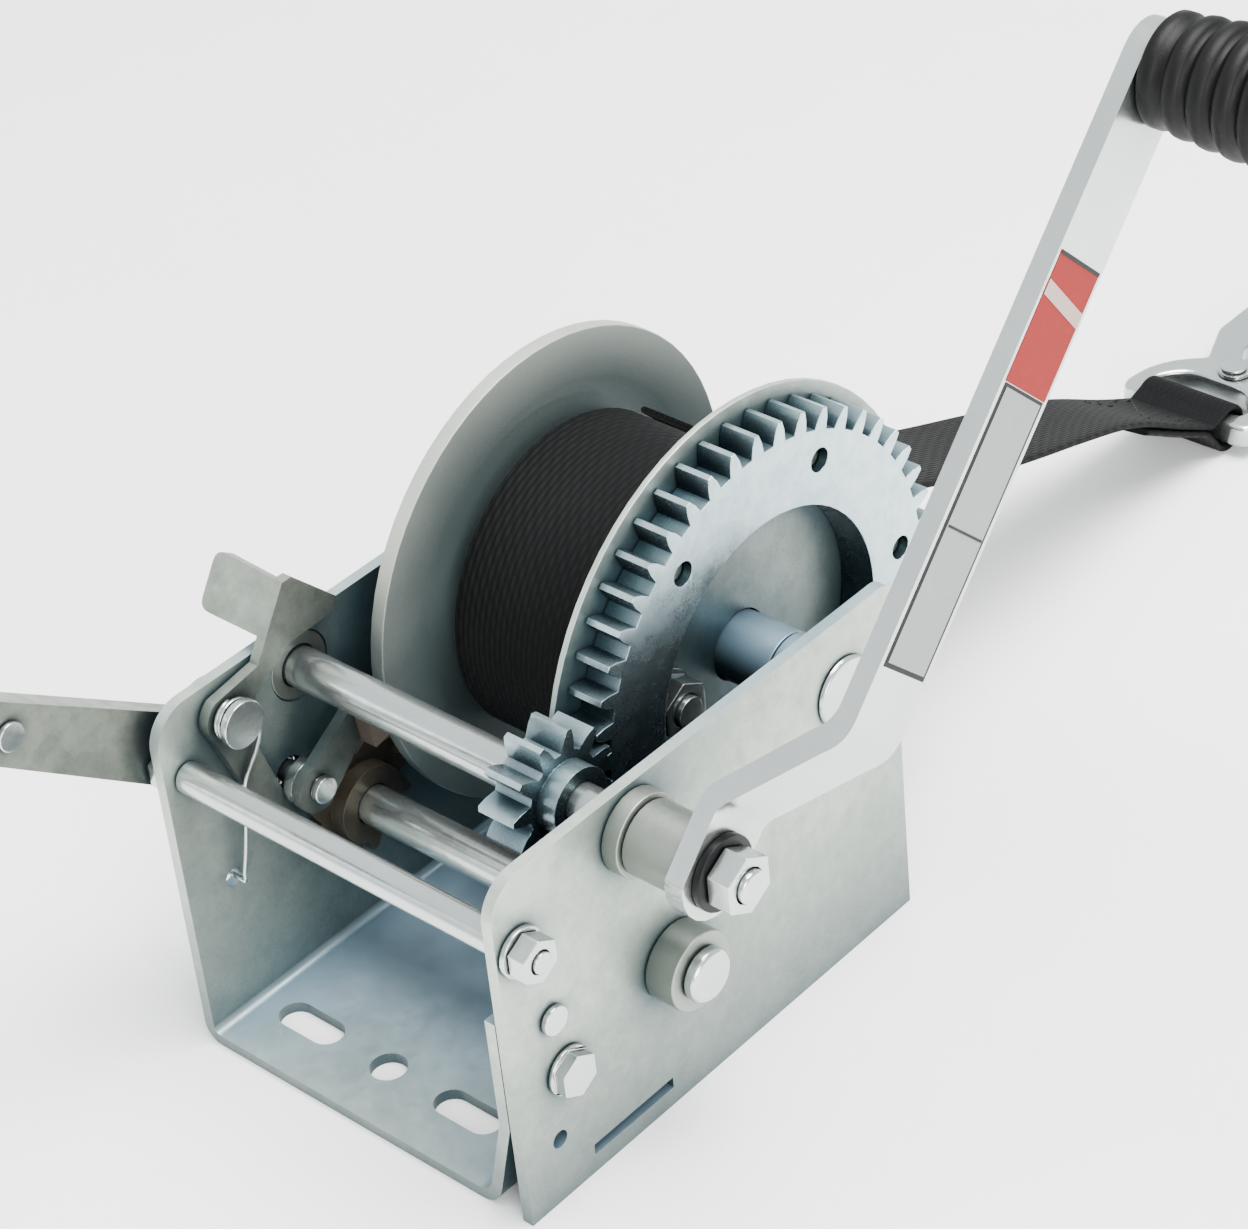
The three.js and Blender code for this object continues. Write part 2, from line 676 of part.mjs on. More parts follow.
function turnToCrank(manifold) {
  const geometry = geometryOf(manifold);
  geometry.rotateX(rad(CRANK_ANGLE)).translate(0, UPPER.y, UPPER.z);
  return solid(geometry);
}

const ARM_X = CRANK_X + CRANK_JOG;     // inner face of the straight arm

function crankArm() {
  const x = CRANK_X;
  const s = new THREE.Shape();
  s.moveTo(-12, x);
  s.lineTo(12.5, x);
  s.quadraticCurveTo(15.5, x, 18, x + 2.6);
  s.lineTo(36, ARM_X - 3.6);
  s.quadraticCurveTo(39, ARM_X, 43, ARM_X);
  s.lineTo(CRANK_LENGTH + 11, ARM_X);
  s.lineTo(CRANK_LENGTH + 11, ARM_X + CRANK_T);
  s.lineTo(41, ARM_X + CRANK_T);
  s.quadraticCurveTo(35.5, ARM_X + CRANK_T, 32, ARM_X + 0.6);
  s.lineTo(15, x + 7.4);
  s.quadraticCurveTo(13, x + CRANK_T, 10.4, x + CRANK_T);
  s.lineTo(-12, x + CRANK_T);
  s.closePath();
  const width = CRANK_WIDTH;
  const bar = extruded(s, width, 6);
  const strip = solid(bar.applyMatrix4(FROM_UX).translate(0, 0, width / 2));
  // Round both ends in plan.
  const plan = new THREE.Shape();
  plan.absarc(0, 0, 11.6, rad(60), rad(300));
  plan.absarc(CRANK_LENGTH, 0, width / 2, -Math.PI / 2, Math.PI / 2);
  plan.closePath();
  const trimmed = strip.intersect(plateX(plan, x - 1, ARM_X + CRANK_T + 1));
  const hub = { y: 0, z: 0 };
  const end = { y: CRANK_LENGTH, z: 0 };
  const gripHole = rodX(4.3, ARM_X - 1, ARM_X + 8, end, SMALL);
  return turnToCrank(cut(trimmed, rodX(BORE_R, x - 1, x + 9, hub), gripHole));
}

function crankCollar() {
  return ringX(BORE_R, 9, OUTER + 4.8, CRANK_X - GAP, UPPER);
}

function crankWasher() {
  return ringX(BORE_R, 9, CRANK_X + CRANK_T + GAP, CRANK_X + CRANK_T + 2.2, UPPER);
}

function crankNut() {
  const x0 = CRANK_X + CRANK_T + 2.5;
  return cut(hexX(13, x0, x0 + 6.2, UPPER), rodX(4.3, x0 - 1, x0 + 9, UPPER, SMALL));
}

const GRIP_AXIS = polar(UPPER, CRANK_LENGTH, CRANK_ANGLE);
const GRIP_X = ARM_X + CRANK_T + 1.2;

function gripPin() {
  return turnedX([
    [0, ARM_X - 2.2], [6, ARM_X - 2.2], [6.8, ARM_X - GAP], [4, ARM_X - GAP], [4, GRIP_X + GRIP_LENGTH - 8],
    [7, GRIP_X + GRIP_LENGTH - 8], [6.6, GRIP_X + GRIP_LENGTH - 6], [0, GRIP_X + GRIP_LENGTH - 5],
  ], GRIP_AXIS);
}

// Ribbed grip: a slim collar by the crank, then a swelling body with rings.
function crankGrip() {
  const end = GRIP_X + GRIP_LENGTH;
  const outside = [[12.5, GRIP_X], [12.5, GRIP_X + 3]];
  const ribs = 14;
  const ribPitch = (GRIP_LENGTH - 14) / ribs;
  for (let i = 0; i < ribs; i++) {
    const x = GRIP_X + 5 + i * ribPitch;
    const swell = 12.4 + 2.4 * Math.sin(Math.PI * (i + 0.6) / ribs);
    outside.push([swell - 1, x], [swell + 0.5, x + 0.4 * ribPitch]);
  }
  outside.push([13, end - 6], [11.5, end - 1.5], [9, end]);
  const bore = [[8, end], [8, end - 8.6], [4.4, end - 8.6], [4.4, GRIP_X]];
  return turnedX([...outside, ...bore], GRIP_AXIS);
}

// ---------------------------------------------------------------- strap tail and hook
const HOOK = { y: 273, z: 7.5 };       // bar of the hook's eye, inside the strap's loop
const HOOK_X = (STRAP_X[0] + STRAP_X[1]) / 2;
const LOOP_R = 5.2;

// Side view of the tail: off the roll, down behind the drum, and out to the hook's eye.
function tailPath() {
  const start = polar(DRUM, ROLL_R + GAP + STRAP_T / 2, 44);
  return new THREE.CatmullRomCurve3([
    new THREE.Vector3(0, start.y, start.z),
    new THREE.Vector3(0, 102, 84),
    new THREE.Vector3(0, 144, 64),
    new THREE.Vector3(0, 195, 45),
    new THREE.Vector3(0, 225, 33),
    new THREE.Vector3(0, 249, 20),
    new THREE.Vector3(0, HOOK.y - 8.2, HOOK.z + 4.4),
  ]);
}

function strapTail() {
  const path = tailPath();
  const steps = 28;
  const upper = [];
  const lower = [];
  for (let i = 0; i <= steps; i++) {
    const p = path.getPointAt(i / steps);
    const t = path.getTangentAt(i / steps);
    const half = STRAP_T / 2;
    upper.push([p.y - t.z * half, p.z + t.y * half]);
    lower.push([p.y + t.z * half, p.z - t.y * half]);
  }
  const s = new THREE.Shape();
  [...upper, ...lower.toReversed()].forEach(([y, z], i) => (i === 0 ? s.moveTo(y, z) : s.lineTo(y, z)));
  s.closePath();
  const ribbon = extruded(s, 1, 1);
  ribbon.translate(0, 0, -0.5).applyMatrix4(FROM_YZ);
  const start = upper[0][0];
  const position = ribbon.attributes.position;
  for (let i = 0; i < position.count; i++) {
    const y = position.getY(i);
    const along = THREE.MathUtils.clamp((y - start) / (HOOK.y - start), 0, 1);
    const width = THREE.MathUtils.lerp(50, 29, THREE.MathUtils.smoothstep(along, 0.35, 0.95));
    const tilt = 0.2 * Math.sin(Math.PI * along);
    const across = position.getX(i) * width;
    position.setX(i, HOOK_X + across);
    position.setZ(i, position.getZ(i) + across * tilt);
  }
  return solid(ribbon);
}

// The sewn loop that holds the hook's eye.
function strapLoop() {
  return ringX(LOOP_R, LOOP_R + STRAP_T, HOOK_X - 14, HOOK_X + 14, HOOK);
}

function hookBody() {
  const t = [HOOK.z - 3.6, HOOK.z + 3.6];
  const x = HOOK_X;
  const y = HOOK.y;
  const eye = new THREE.Shape();
  eye.moveTo(x - 17, y - 3);
  eye.lineTo(x + 17, y - 3);
  eye.quadraticCurveTo(x + 22, y - 3, x + 22, y + 2);
  eye.quadraticCurveTo(x + 22, y + 16, x + 9, y + 24);
  eye.lineTo(x - 9, y + 24);
  eye.quadraticCurveTo(x - 22, y + 16, x - 22, y + 2);
  eye.quadraticCurveTo(x - 22, y - 3, x - 17, y - 3);
  const slot = new THREE.Shape();
  slot.moveTo(x - 15.5, y + 3);
  slot.lineTo(x + 15.5, y + 3);
  slot.lineTo(x + 15.5, y + 7);
  slot.quadraticCurveTo(x + 12, y + 14, x + 6, y + 14.5);
  slot.lineTo(x - 6, y + 14.5);
  slot.quadraticCurveTo(x - 12, y + 14, x - 15.5, y + 7);
  slot.closePath();
  const bill = new THREE.Shape();
  bill.moveTo(x - 9, y + 22);
  bill.lineTo(x + 3, y + 22);
  bill.lineTo(x - 3, y + 33);
  bill.lineTo(x - 6.5, y + 62);
  bill.absarc(x + 5, y + 62, 11.5, Math.PI, 0, true);
  bill.lineTo(x + 16.5, y + 54);
  bill.lineTo(x + 25, y + 54);
  bill.lineTo(x + 25.5, y + 62);
  bill.absarc(x + 5, y + 62, 20.5, 0, Math.PI);
  bill.lineTo(x - 15.5, y + 38);
  bill.closePath();
  return cut(join(plateZ(eye, ...t), plateZ(bill, ...t)), plateZ(slot, t[0] - 1, t[1] + 1),
    pinZ(2.1, t[0] - 1, t[1] + 1, LATCH));
}

const LATCH = { x: HOOK_X + 2, y: HOOK.y + 20 };

function pinZ(r, z0, z1, at) {
  const geometry = new THREE.CylinderGeometry(r, r, z1 - z0, SMALL).rotateX(Math.PI / 2);
  return solid(geometry.translate(at.x, at.y, (z0 + z1) / 2));
}

function latchPin() {
  const low = HOOK.z - 6.1;
  const high = HOOK.z + 6.1;
  const heads = [pinZ(3.6, low, low + 0.8, LATCH), pinZ(3.6, high - 0.8, high, LATCH)];
  return join(pinZ(1.8, low, high, LATCH), ...heads);
}

// Sheet-metal gate: two cheeks on the pin, joined by a web near the hook's tip.
function hookLatch() {
  const tip = { x: HOOK_X + 21.2, y: HOOK.y + 50.2 };
  const cheek = new THREE.Shape();
  cheek.moveTo(LATCH.x - 4.4, LATCH.y - 1);
  cheek.absarc(LATCH.x, LATCH.y, 4.5, rad(190), rad(350));
  cheek.lineTo(tip.x + 1.6, tip.y - 1);
  cheek.lineTo(tip.x - 3.4, tip.y);
  cheek.closePath();
  const z = HOOK.z;
  const web = new THREE.Shape();
  web.moveTo(LATCH.x + 7.2, LATCH.y + 7.8);
  web.lineTo(LATCH.x + 9.2, LATCH.y + 7.2);
  web.lineTo(tip.x + 1.2, tip.y - 1.2);
  web.lineTo(tip.x - 0.8, tip.y - 0.6);
  web.closePath();
  const cheeks = join(plateZ(cheek, z - 5, z - 3.9), plateZ(cheek, z + 3.9, z + 5));
  const latch = join(cheeks, plateZ(web, z - 4.6, z + 4.6));
  return cut(latch, pinZ(2.1, z - 8, z + 8, LATCH));
}

// ---------------------------------------------------------------- scene graph
const FINISH = {
  zinc: { color: 0xb9c3bf, roughness: 0.42, metalness: 0.85 },
  darkZinc: { color: 0x8f9a98, roughness: 0.45, metalness: 0.85 },
  brightZinc: { color: 0xc9d0cf, roughness: 0.3, metalness: 0.95 },
  flange: { color: 0xa6aba3, roughness: 0.6, metalness: 0.5 },
  webbing: { color: 0x17181a, roughness: 0.9, metalness: 0 },
  rubber: { color: 0x121315, roughness: 0.7, metalness: 0 },
};

const winch = new THREE.Group();
winch.name = 'boat_trailer_winch';

function add(name, manifold, finish) {
  const mesh = new THREE.Mesh(geometryOf(manifold), new THREE.MeshStandardMaterial(FINISH[finish]));
  mesh.name = name;
  winch.add(mesh);
}

add('frame_channel', frameChannel(), 'zinc');
add('side_plate_right', sidePlateRight(), 'zinc');
add('tie_tube', tieTube(), 'brightZinc');
add('tie_bolt', tieBolt(), 'brightZinc');
add('tie_washer', washer(2.9, 6.2, OUTER, OUTER + 1.4, TIE), 'brightZinc');
add('tie_nut', tieNut(), 'brightZinc');
add('drum_axle', drumAxle(), 'brightZinc');
add('axle_nut', axleNut(), 'brightZinc');
add('axle_spacer_left', washer(BORE_R, HUB_R, -INNER + GAP, -46.7, DRUM), 'zinc');
add('axle_spacer_right', washer(BORE_R, HUB_R, 37.3, INNER - GAP, DRUM), 'zinc');
add('bushing_upper_left', bushing(-1, UPPER, 10.3, 3), 'darkZinc');
add('bushing_upper_right', bushing(1, UPPER, 10.2, 4.5), 'darkZinc');
add('bushing_lower_left', bushing(-1, LOWER, 10.3, 3), 'darkZinc');
add('bushing_lower_right', bushing(1, LOWER, 9.9, 8), 'darkZinc');
add('plate_bolt', plateBolt(), 'brightZinc');
add('plate_nut', plateNut(), 'brightZinc');
add('plate_rivet', plateRivet(), 'brightZinc');

add('drum_flange_left', drumFlangeLeft(), 'flange');
add('drum_disc_right', drumDiscRight(), 'zinc');
add('drum_gear', drumGear(), 'zinc');
rivetPlaces().forEach((at, i) => add(`gear_rivet_${i + 1}`, gearRivet(at), 'darkZinc'));
add('drum_hub', drumHub(), 'zinc');
add('drum_core', drumCore(), 'darkZinc');
add('strap_roll', strapRoll(), 'webbing');
add('strap_anchor_bolt', anchorBolt(), 'brightZinc');
add('strap_anchor_nut', anchorNut(), 'brightZinc');

add('input_shaft', inputShaft(), 'brightZinc');
add('drive_pinion', pinion(PINION_TEETH, PINION_PHASE, UPPER), 'brightZinc');
add('input_shaft_clip', shaftClip(UPPER), 'darkZinc');
add('crank_collar', crankCollar(), 'darkZinc');
add('crank_arm', crankArm(), 'brightZinc');
add('crank_washer', crankWasher(), 'rubber');
add('crank_nut', crankNut(), 'brightZinc');
add('grip_pin', gripPin(), 'brightZinc');
add('crank_grip', crankGrip(), 'rubber');

add('low_shaft', lowShaft(), 'brightZinc');
add('low_pinion', pinion(LOW_TEETH, LOW_PHASE, LOWER), 'brightZinc');
add('ratchet_wheel', ratchetWheel(), 'darkZinc');
add('low_shaft_clip', shaftClip(LOWER), 'darkZinc');

add('pawl', pawlLever(), 'zinc');
add('pawl_pivot', pawlPivot(), 'brightZinc');
add('pawl_spring', pawlSpring(), 'brightZinc');

add('brake_lever', brakeLever(), 'zinc');
add('brake_pin', brakePin(), 'brightZinc');
add('brake_nut', brakeNut(), 'brightZinc');
add('brake_arm', brakeArm(), 'darkZinc');
add('brake_pad', brakePad(), 'rubber');
add('brake_grip', brakeGrip(), 'rubber');
add('brake_rivet', brakeRivet(), 'brightZinc');

add('strap_tail', strapTail(), 'webbing');
add('strap_loop', strapLoop(), 'webbing');
add('hook_body', hookBody(), 'brightZinc');
add('hook_latch', hookLatch(), 'brightZinc');
add('latch_pin', latchPin(), 'brightZinc');

export default winch;
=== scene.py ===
# %% [markdown]
# # A hand winch for a boat trailer
# The winch is a bent steel frame that carries a geared drum, a crank, a ratchet and a hand brake. Every
# hard piece already exists as an exact solid, so this lesson adds what the eye still misses: finishes,
# soft edges, the woven strap, the ribbed grip and the film labels on the crank.

# %% Load the fixed frame
import json
import math

import bmesh
import bpy
from mathutils import Matrix, Vector


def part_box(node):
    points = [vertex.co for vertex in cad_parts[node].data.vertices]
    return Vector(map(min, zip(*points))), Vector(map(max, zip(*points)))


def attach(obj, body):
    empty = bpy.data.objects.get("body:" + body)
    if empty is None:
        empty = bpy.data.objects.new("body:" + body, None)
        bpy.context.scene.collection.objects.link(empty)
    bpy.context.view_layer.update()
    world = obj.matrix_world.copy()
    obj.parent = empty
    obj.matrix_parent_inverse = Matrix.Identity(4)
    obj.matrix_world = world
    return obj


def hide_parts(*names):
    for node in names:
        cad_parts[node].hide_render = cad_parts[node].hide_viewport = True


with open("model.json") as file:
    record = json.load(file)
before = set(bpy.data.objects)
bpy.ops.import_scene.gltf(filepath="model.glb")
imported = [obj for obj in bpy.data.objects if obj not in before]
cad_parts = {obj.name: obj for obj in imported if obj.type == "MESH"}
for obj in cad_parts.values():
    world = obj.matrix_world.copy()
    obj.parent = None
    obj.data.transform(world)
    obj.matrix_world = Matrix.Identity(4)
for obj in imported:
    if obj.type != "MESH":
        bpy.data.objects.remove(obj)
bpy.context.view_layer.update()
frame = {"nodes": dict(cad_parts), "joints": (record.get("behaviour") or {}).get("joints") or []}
nodes = frame["nodes"]
joints = {joint["name"]: joint for joint in frame["joints"]}
MM = 0.001

# %% [markdown]
# ## Camera
# A product shot of a small machine is taken with a long lens from above one corner, so its edges stay
# nearly parallel. The camera is placed by azimuth, elevation and a slight roll, and its position is given
# in metres.

# %% Place the camera
AZIMUTH, ELEVATION, ROLL = math.radians(44.89), math.radians(35.77), math.radians(-6.15)
back = Vector((math.sin(AZIMUTH) * math.cos(ELEVATION), -math.cos(AZIMUTH) * math.cos(ELEVATION),
               math.sin(ELEVATION)))
level_right = Vector((math.cos(AZIMUTH), math.sin(AZIMUTH), 0))
level_up = back.cross(level_right)
right = level_right * math.cos(ROLL) + level_up * math.sin(ROLL)
up = back.cross(right)
camera = bpy.data.objects.new("camera", bpy.data.cameras.new("camera"))
camera.data.lens = 107.6
camera.data.sensor_width = 36
camera.data.clip_start, camera.data.clip_end = 0.05, 20
camera.matrix_world = Matrix((
    (right.x, up.x, back.x, 0.4950),
    (right.y, up.y, back.y, -0.4634),
    (right.z, up.z, back.z, 0.5901),
    (0, 0, 0, 1)))
bpy.context.scene.collection.objects.link(camera)
bpy.context.scene.camera = camera
print("camera stands", round(camera.location.length, 3), "m from the base")

# %% [markdown]
# ## Floor and light
# Zinc plate is only as good as what it mirrors. A white floor, a white surround and two large soft lamps
# give it pale reflections with slow gradients. A third, much weaker lamp leaves the left side darker, so
# that the folds stay readable.

# %% Make the floor and the lamps
def new_mesh(name, vertices, faces):
    """A mesh object in the row frame from plain lists of points and faces."""
    mesh = bpy.data.meshes.new(name)
    mesh.from_pydata([tuple(v) for v in vertices], [], faces)
    mesh.update()
    piece = bpy.data.objects.new(name, mesh)
    bpy.context.scene.collection.objects.link(piece)
    return piece


def soft_lamp(name, place, aim, size, watts, colour):
    """A square soft box that faces the point aim."""
    lamp = bpy.data.objects.new(name, bpy.data.lights.new(name, "AREA"))
    lamp.data.shape = "SQUARE"
    lamp.data.size = size
    lamp.data.energy = watts
    lamp.data.color = colour
    lamp.location = place
    lamp.rotation_euler = (Vector(aim) - Vector(place)).to_track_quat("-Z", "Y").to_euler()
    bpy.context.scene.collection.objects.link(lamp)
    return lamp


HALF_FLOOR = 4.0
floor = new_mesh("floor", [(-HALF_FLOOR, -HALF_FLOOR, 0), (HALF_FLOOR, -HALF_FLOOR, 0),
                           (HALF_FLOOR, HALF_FLOOR, 0), (-HALF_FLOOR, HALF_FLOOR, 0)], [(0, 1, 2, 3)])
soft_lamp("overhead_box", (0.30, 0.25, 1.30), (0, 0.03, 0.05), 0.9, 58, (1.0, 0.99, 0.97))
soft_lamp("front_right_box", (1.25, -0.75, 0.60), (0, 0, 0.06), 0.8, 26, (1.0, 0.99, 0.96))
soft_lamp("left_fill", (-1.2, -0.9, 0.5), (0, 0, 0.08), 0.7, 5, (0.90, 0.96, 1.0))

# %% [markdown]
# ## Two helpers for materials
# Colours are written as the familiar web hex values, which are sRGB, and the renderer works in linear
# light, so one function turns them over. One more function adds a node, gives it settings and plugs its
# inputs.

# %% Colour and node helpers
def linear(hex_colour):
    """An sRGB hex colour such as '#c8cec8' as linear (r, g, b, 1)."""
    values = [int(hex_colour[i:i + 2], 16) / 255 for i in (1, 3, 5)]
    return (*[v / 12.92 if v <= 0.04045 else ((v + 0.055) / 1.055) ** 2.4 for v in values], 1.0)


def add(tree, kind, settings=None, links=None):
    """Adds a node: settings name its inputs or its own properties, links plug sockets into inputs."""
    new = tree.nodes.new(kind)
    for key, value in (settings or {}).items():
        if isinstance(key, int) or key in new.inputs:
            new.inputs[key].default_value = value
        else:
            setattr(new, key, value)
    for key, socket in (links or {}).items():
        tree.links.new(socket, new.inputs[key])
    return new


def start_material(name):
    """An empty node material with its shader and output: returns material, tree and shader."""
    material = bpy.data.materials.new(name)
    material.use_nodes = True
    tree = material.node_tree
    tree.nodes.clear()
    shader = add(tree, "ShaderNodeBsdfPrincipled")
    add(tree, "ShaderNodeOutputMaterial", links={"Surface": shader.outputs["BSDF"]})
    return material, tree, shader


def per_metre(millimetres):
    """A texture scale whose features repeat about every so many millimetres."""
    return 1.0 / (millimetres * MM)


materials = {}
world = bpy.data.worlds.new("white_surround")
world.use_nodes = True
world.node_tree.nodes.clear()
surround = add(world.node_tree, "ShaderNodeBackground", {"Color": linear("#f1f5f8"), "Strength": 1.6})
add(world.node_tree, "ShaderNodeOutputWorld", links={"Surface": surround.outputs["Background"]})
bpy.context.scene.world = world
print("the surround is", surround.inputs["Strength"].default_value, "bright")

# %% Paint the floor
material, tree, shader = start_material("white_card")
grain = add(tree, "ShaderNodeTexNoise", {"Scale": per_metre(3), "Detail": 2.0})
tint = add(tree, "ShaderNodeMix", {"data_type": "RGBA", 6: linear("#fafafa"), 7: linear("#fefefe")},
           {0: grain.outputs["Fac"]})
tree.links.new(tint.outputs[2], shader.inputs["Base Color"])
shader.inputs["Roughness"].default_value = 0.95
shader.inputs["Specular IOR Level"].default_value = 0.1
floor.data.materials.append(material)
print("floor is", material.name)

# %% [markdown]
# ## Zinc-plated sheet
# The frame, the levers and the drum disc are cold-rolled sheet, pressed and then electroplated with zinc
# and a clear blue passivation. The plating follows every rolling line of the sheet, clouds over slowly
# from one area to the next and dulls where hands and tools have rubbed it. One material with slow clouds,
# fine streaks and scattered scuffs gives all of that; painted shade darkens its corners and a painted
# dark reflection tints the faces that look into the frame.

# %% Zinc-plated sheet
def zinc_sheet(name, light, deep, shade, floor_shade, corner_shade, roughness, metallic):
    material, tree, shader = start_material(name)
    place = add(tree, "ShaderNodeTexCoord")
    clouds = add(tree, "ShaderNodeTexNoise", {"Scale": per_metre(38), "Detail": 4.0, "Roughness": 0.6},
                 {"Vector": place.outputs["Object"]})
    mottle = add(tree, "ShaderNodeTexNoise", {"Scale": per_metre(4.5), "Detail": 5.0, "Roughness": 0.7},
                 {"Vector": place.outputs["Object"]})
    # Rolling lines: features 0.7 mm across and many times longer, drawn coarse enough to show.
    stretch = add(tree, "ShaderNodeMapping", {"Scale": (1.0, 0.035, 1.0)},
                  {"Vector": place.outputs["Object"]})
    rolled = add(tree, "ShaderNodeTexNoise", {"Scale": per_metre(0.9), "Detail": 3.0, "Roughness": 0.6},
                 {"Vector": stretch.outputs["Vector"]})
    # Plating crystals, about 6 mm across.
    crystals = add(tree, "ShaderNodeTexVoronoi", {"Scale": per_metre(6.0), "Randomness": 1.0},
                   {"Vector": place.outputs["Object"]})
    crystal_grey = add(tree, "ShaderNodeSeparateColor", links={"Color": crystals.outputs["Color"]})
    blend = add(tree, "ShaderNodeMath", {"operation": "MULTIPLY_ADD", 1: 0.45},
                {0: clouds.outputs["Fac"], 2: mottle.outputs["Fac"]})
    blend_2 = add(tree, "ShaderNodeMath", {"operation": "MULTIPLY_ADD", 1: 0.12},
                  {0: crystal_grey.outputs["Red"], 2: blend.outputs["Value"]})
    spread = add(tree, "ShaderNodeMapRange", {"From Min": 0.52, "From Max": 1.0},
                 {"Value": blend_2.outputs["Value"]})
    colour = add(tree, "ShaderNodeMix", {"data_type": "RGBA", 6: linear(deep), 7: linear(light)},
                 {0: spread.outputs["Result"]})
    # Painted reflection and shade: faces that look into the frame are darkened to a deep blue-green
    # where occlusion finds it close round, lighter on faces that look up, as if they mirror its dark inside.
    inside = add(tree, "ShaderNodeAmbientOcclusion", {"Distance": 75 * MM, "samples": 5})
    inside_shade_mask = add(tree, "ShaderNodeMapRange",
                      {"From Min": 0.45, "From Max": 0.95, "To Min": 0.95, "To Max": 0.0},
                      {"Value": inside.outputs["AO"]})
    facing = add(tree, "ShaderNodeNewGeometry")
    facing_up = add(tree, "ShaderNodeSeparateXYZ", links={"Vector": facing.outputs["Normal"]})
    shade_here = add(tree, "ShaderNodeMix", {"data_type": "RGBA", 6: linear(shade), 7: linear(floor_shade)},
                     {0: facing_up.outputs["Z"]})
    shaded = add(tree, "ShaderNodeMix", {"data_type": "RGBA"},
                 {0: inside_shade_mask.outputs["Result"], 6: colour.outputs[2], 7: shade_here.outputs[2]})
    # Painted shade in the corners: a short occlusion mask darkens the colour there.
    corner = add(tree, "ShaderNodeAmbientOcclusion", {"Distance": 7 * MM, "samples": 6})
    corner_fade = add(tree, "ShaderNodeMapRange",
                      {"From Min": 0.25, "From Max": 0.85, "To Min": 0.5, "To Max": 0.0},
                      {"Value": corner.outputs["AO"]})
    dust_and_corner_shade = add(tree, "ShaderNodeMix", {"data_type": "RGBA", 7: linear(corner_shade)},
                {0: corner_fade.outputs["Result"], 6: shaded.outputs[2]})
    tree.links.new(dust_and_corner_shade.outputs[2], shader.inputs["Base Color"])
    shader.inputs["Metallic"].default_value = metallic
    scuffs = add(tree, "ShaderNodeTexNoise", {"Scale": per_metre(13), "Detail": 8.0, "Roughness": 0.75},
                 {"Vector": place.outputs["Object"]})
    sheen = add(tree, "ShaderNodeMapRange", {"From Min": 0.35, "From Max": 0.7, "To Min": roughness - 0.07,
                                             "To Max": roughness + 0.13}, {"Value": scuffs.outputs["Fac"]})
    tree.links.new(sheen.outputs["Result"], shader.inputs["Roughness"])
    lines = add(tree, "ShaderNodeBump", {"Strength": 0.22, "Distance": 0.06 * MM},
                {"Height": rolled.outputs["Fac"]})
    skin = add(tree, "ShaderNodeBump", {"Strength": 0.3, "Distance": 0.12 * MM},
               {"Height": mottle.outputs["Fac"], "Normal": lines.outputs["Normal"]})
    tree.links.new(skin.outputs["Normal"], shader.inputs["Normal"])
    materials[name] = material
    return material


zinc_sheet("zinc_plated_sheet", "#b7bfb4", "#9da79e", "#1b3741", "#86a5bb", "#3f4f54", 0.42, 0.68)
zinc_sheet("zinc_plated_gear", "#bccccf", "#9cb2b9", "#0f262e", "#4d6a74", "#14252b", 0.24, 0.86)
zinc_sheet("zinc_plated_lever", "#8e9388", "#6d746c", "#1c2a2e", "#3f4d51", "#262f31", 0.42, 0.7)
zinc_sheet("yellow_zinc_wheel", "#8b806b", "#6c614f", "#302d28", "#4a443a", "#25221e", 0.4, 0.75)
print("sheet finishes:", list(materials))

# %% [markdown]
# ## Drawn bars and fasteners
# Shafts, bolts and nuts are turned or drawn from bright bar and then zinc plated, which leaves fine rings
# round them and a sharper shine than the sheet. The rings follow the shaft direction, so a wave along X is
# enough.

# %% Bright and dull zinc-plated bar
def turned_bar(name, light, deep, roughness, ring_mm):
    material, tree, shader = start_material(name)
    place = add(tree, "ShaderNodeTexCoord")
    clouds = add(tree, "ShaderNodeTexNoise", {"Scale": per_metre(22), "Detail": 4.0, "Roughness": 0.55},
                 {"Vector": place.outputs["Object"]})
    colour = add(tree, "ShaderNodeMix", {"data_type": "RGBA", 6: linear(deep), 7: linear(light)},
                 {0: clouds.outputs["Fac"]})
    # Painted shade: where other parts close round the bar, an occlusion mask darkens its colour towards deep
    # blue-green.
    inside = add(tree, "ShaderNodeAmbientOcclusion", {"Distance": 40 * MM, "samples": 6})
    inside_shade_mask = add(tree, "ShaderNodeMapRange",
                      {"From Min": 0.15, "From Max": 0.8, "To Min": 0.75, "To Max": 0.0},
                      {"Value": inside.outputs["AO"]})
    shaded = add(tree, "ShaderNodeMix", {"data_type": "RGBA", 7: linear("#22343a")},
                 {0: inside_shade_mask.outputs["Result"], 6: colour.outputs[2]})
    tree.links.new(shaded.outputs[2], shader.inputs["Base Color"])
    shader.inputs["Metallic"].default_value = 0.92
    # The wave repeats every 2 pi / (20 x scale) metres, so this draws a ring every 2 pi times ring_mm.
    rings = add(tree, "ShaderNodeTexWave",
                {"wave_type": "BANDS", "bands_direction": "X", "Scale": per_metre(ring_mm) / 20,
                 "Distortion": 1.2, "Detail": 2.0, "Detail Scale": 3.0},
                {"Vector": place.outputs["Object"]})
    specks = add(tree, "ShaderNodeTexNoise", {"Scale": per_metre(1.6), "Detail": 4.0, "Roughness": 0.7},
                 {"Vector": place.outputs["Object"]})
    sheen = add(tree, "ShaderNodeMapRange", {"From Min": 0.3, "From Max": 0.75, "To Min": roughness - 0.04,
                                             "To Max": roughness + 0.08}, {"Value": specks.outputs["Fac"]})
    tree.links.new(sheen.outputs["Result"], shader.inputs["Roughness"])
    ring_bump = add(tree, "ShaderNodeBump", {"Strength": 0.25, "Distance": 0.04 * MM},
                    {"Height": rings.outputs["Fac"]})
    speck_bump = add(tree, "ShaderNodeBump", {"Strength": 0.12, "Distance": 0.03 * MM},
                     {"Height": specks.outputs["Fac"], "Normal": ring_bump.outputs["Normal"]})
    tree.links.new(speck_bump.outputs["Normal"], shader.inputs["Normal"])
    materials[name] = material
    return material


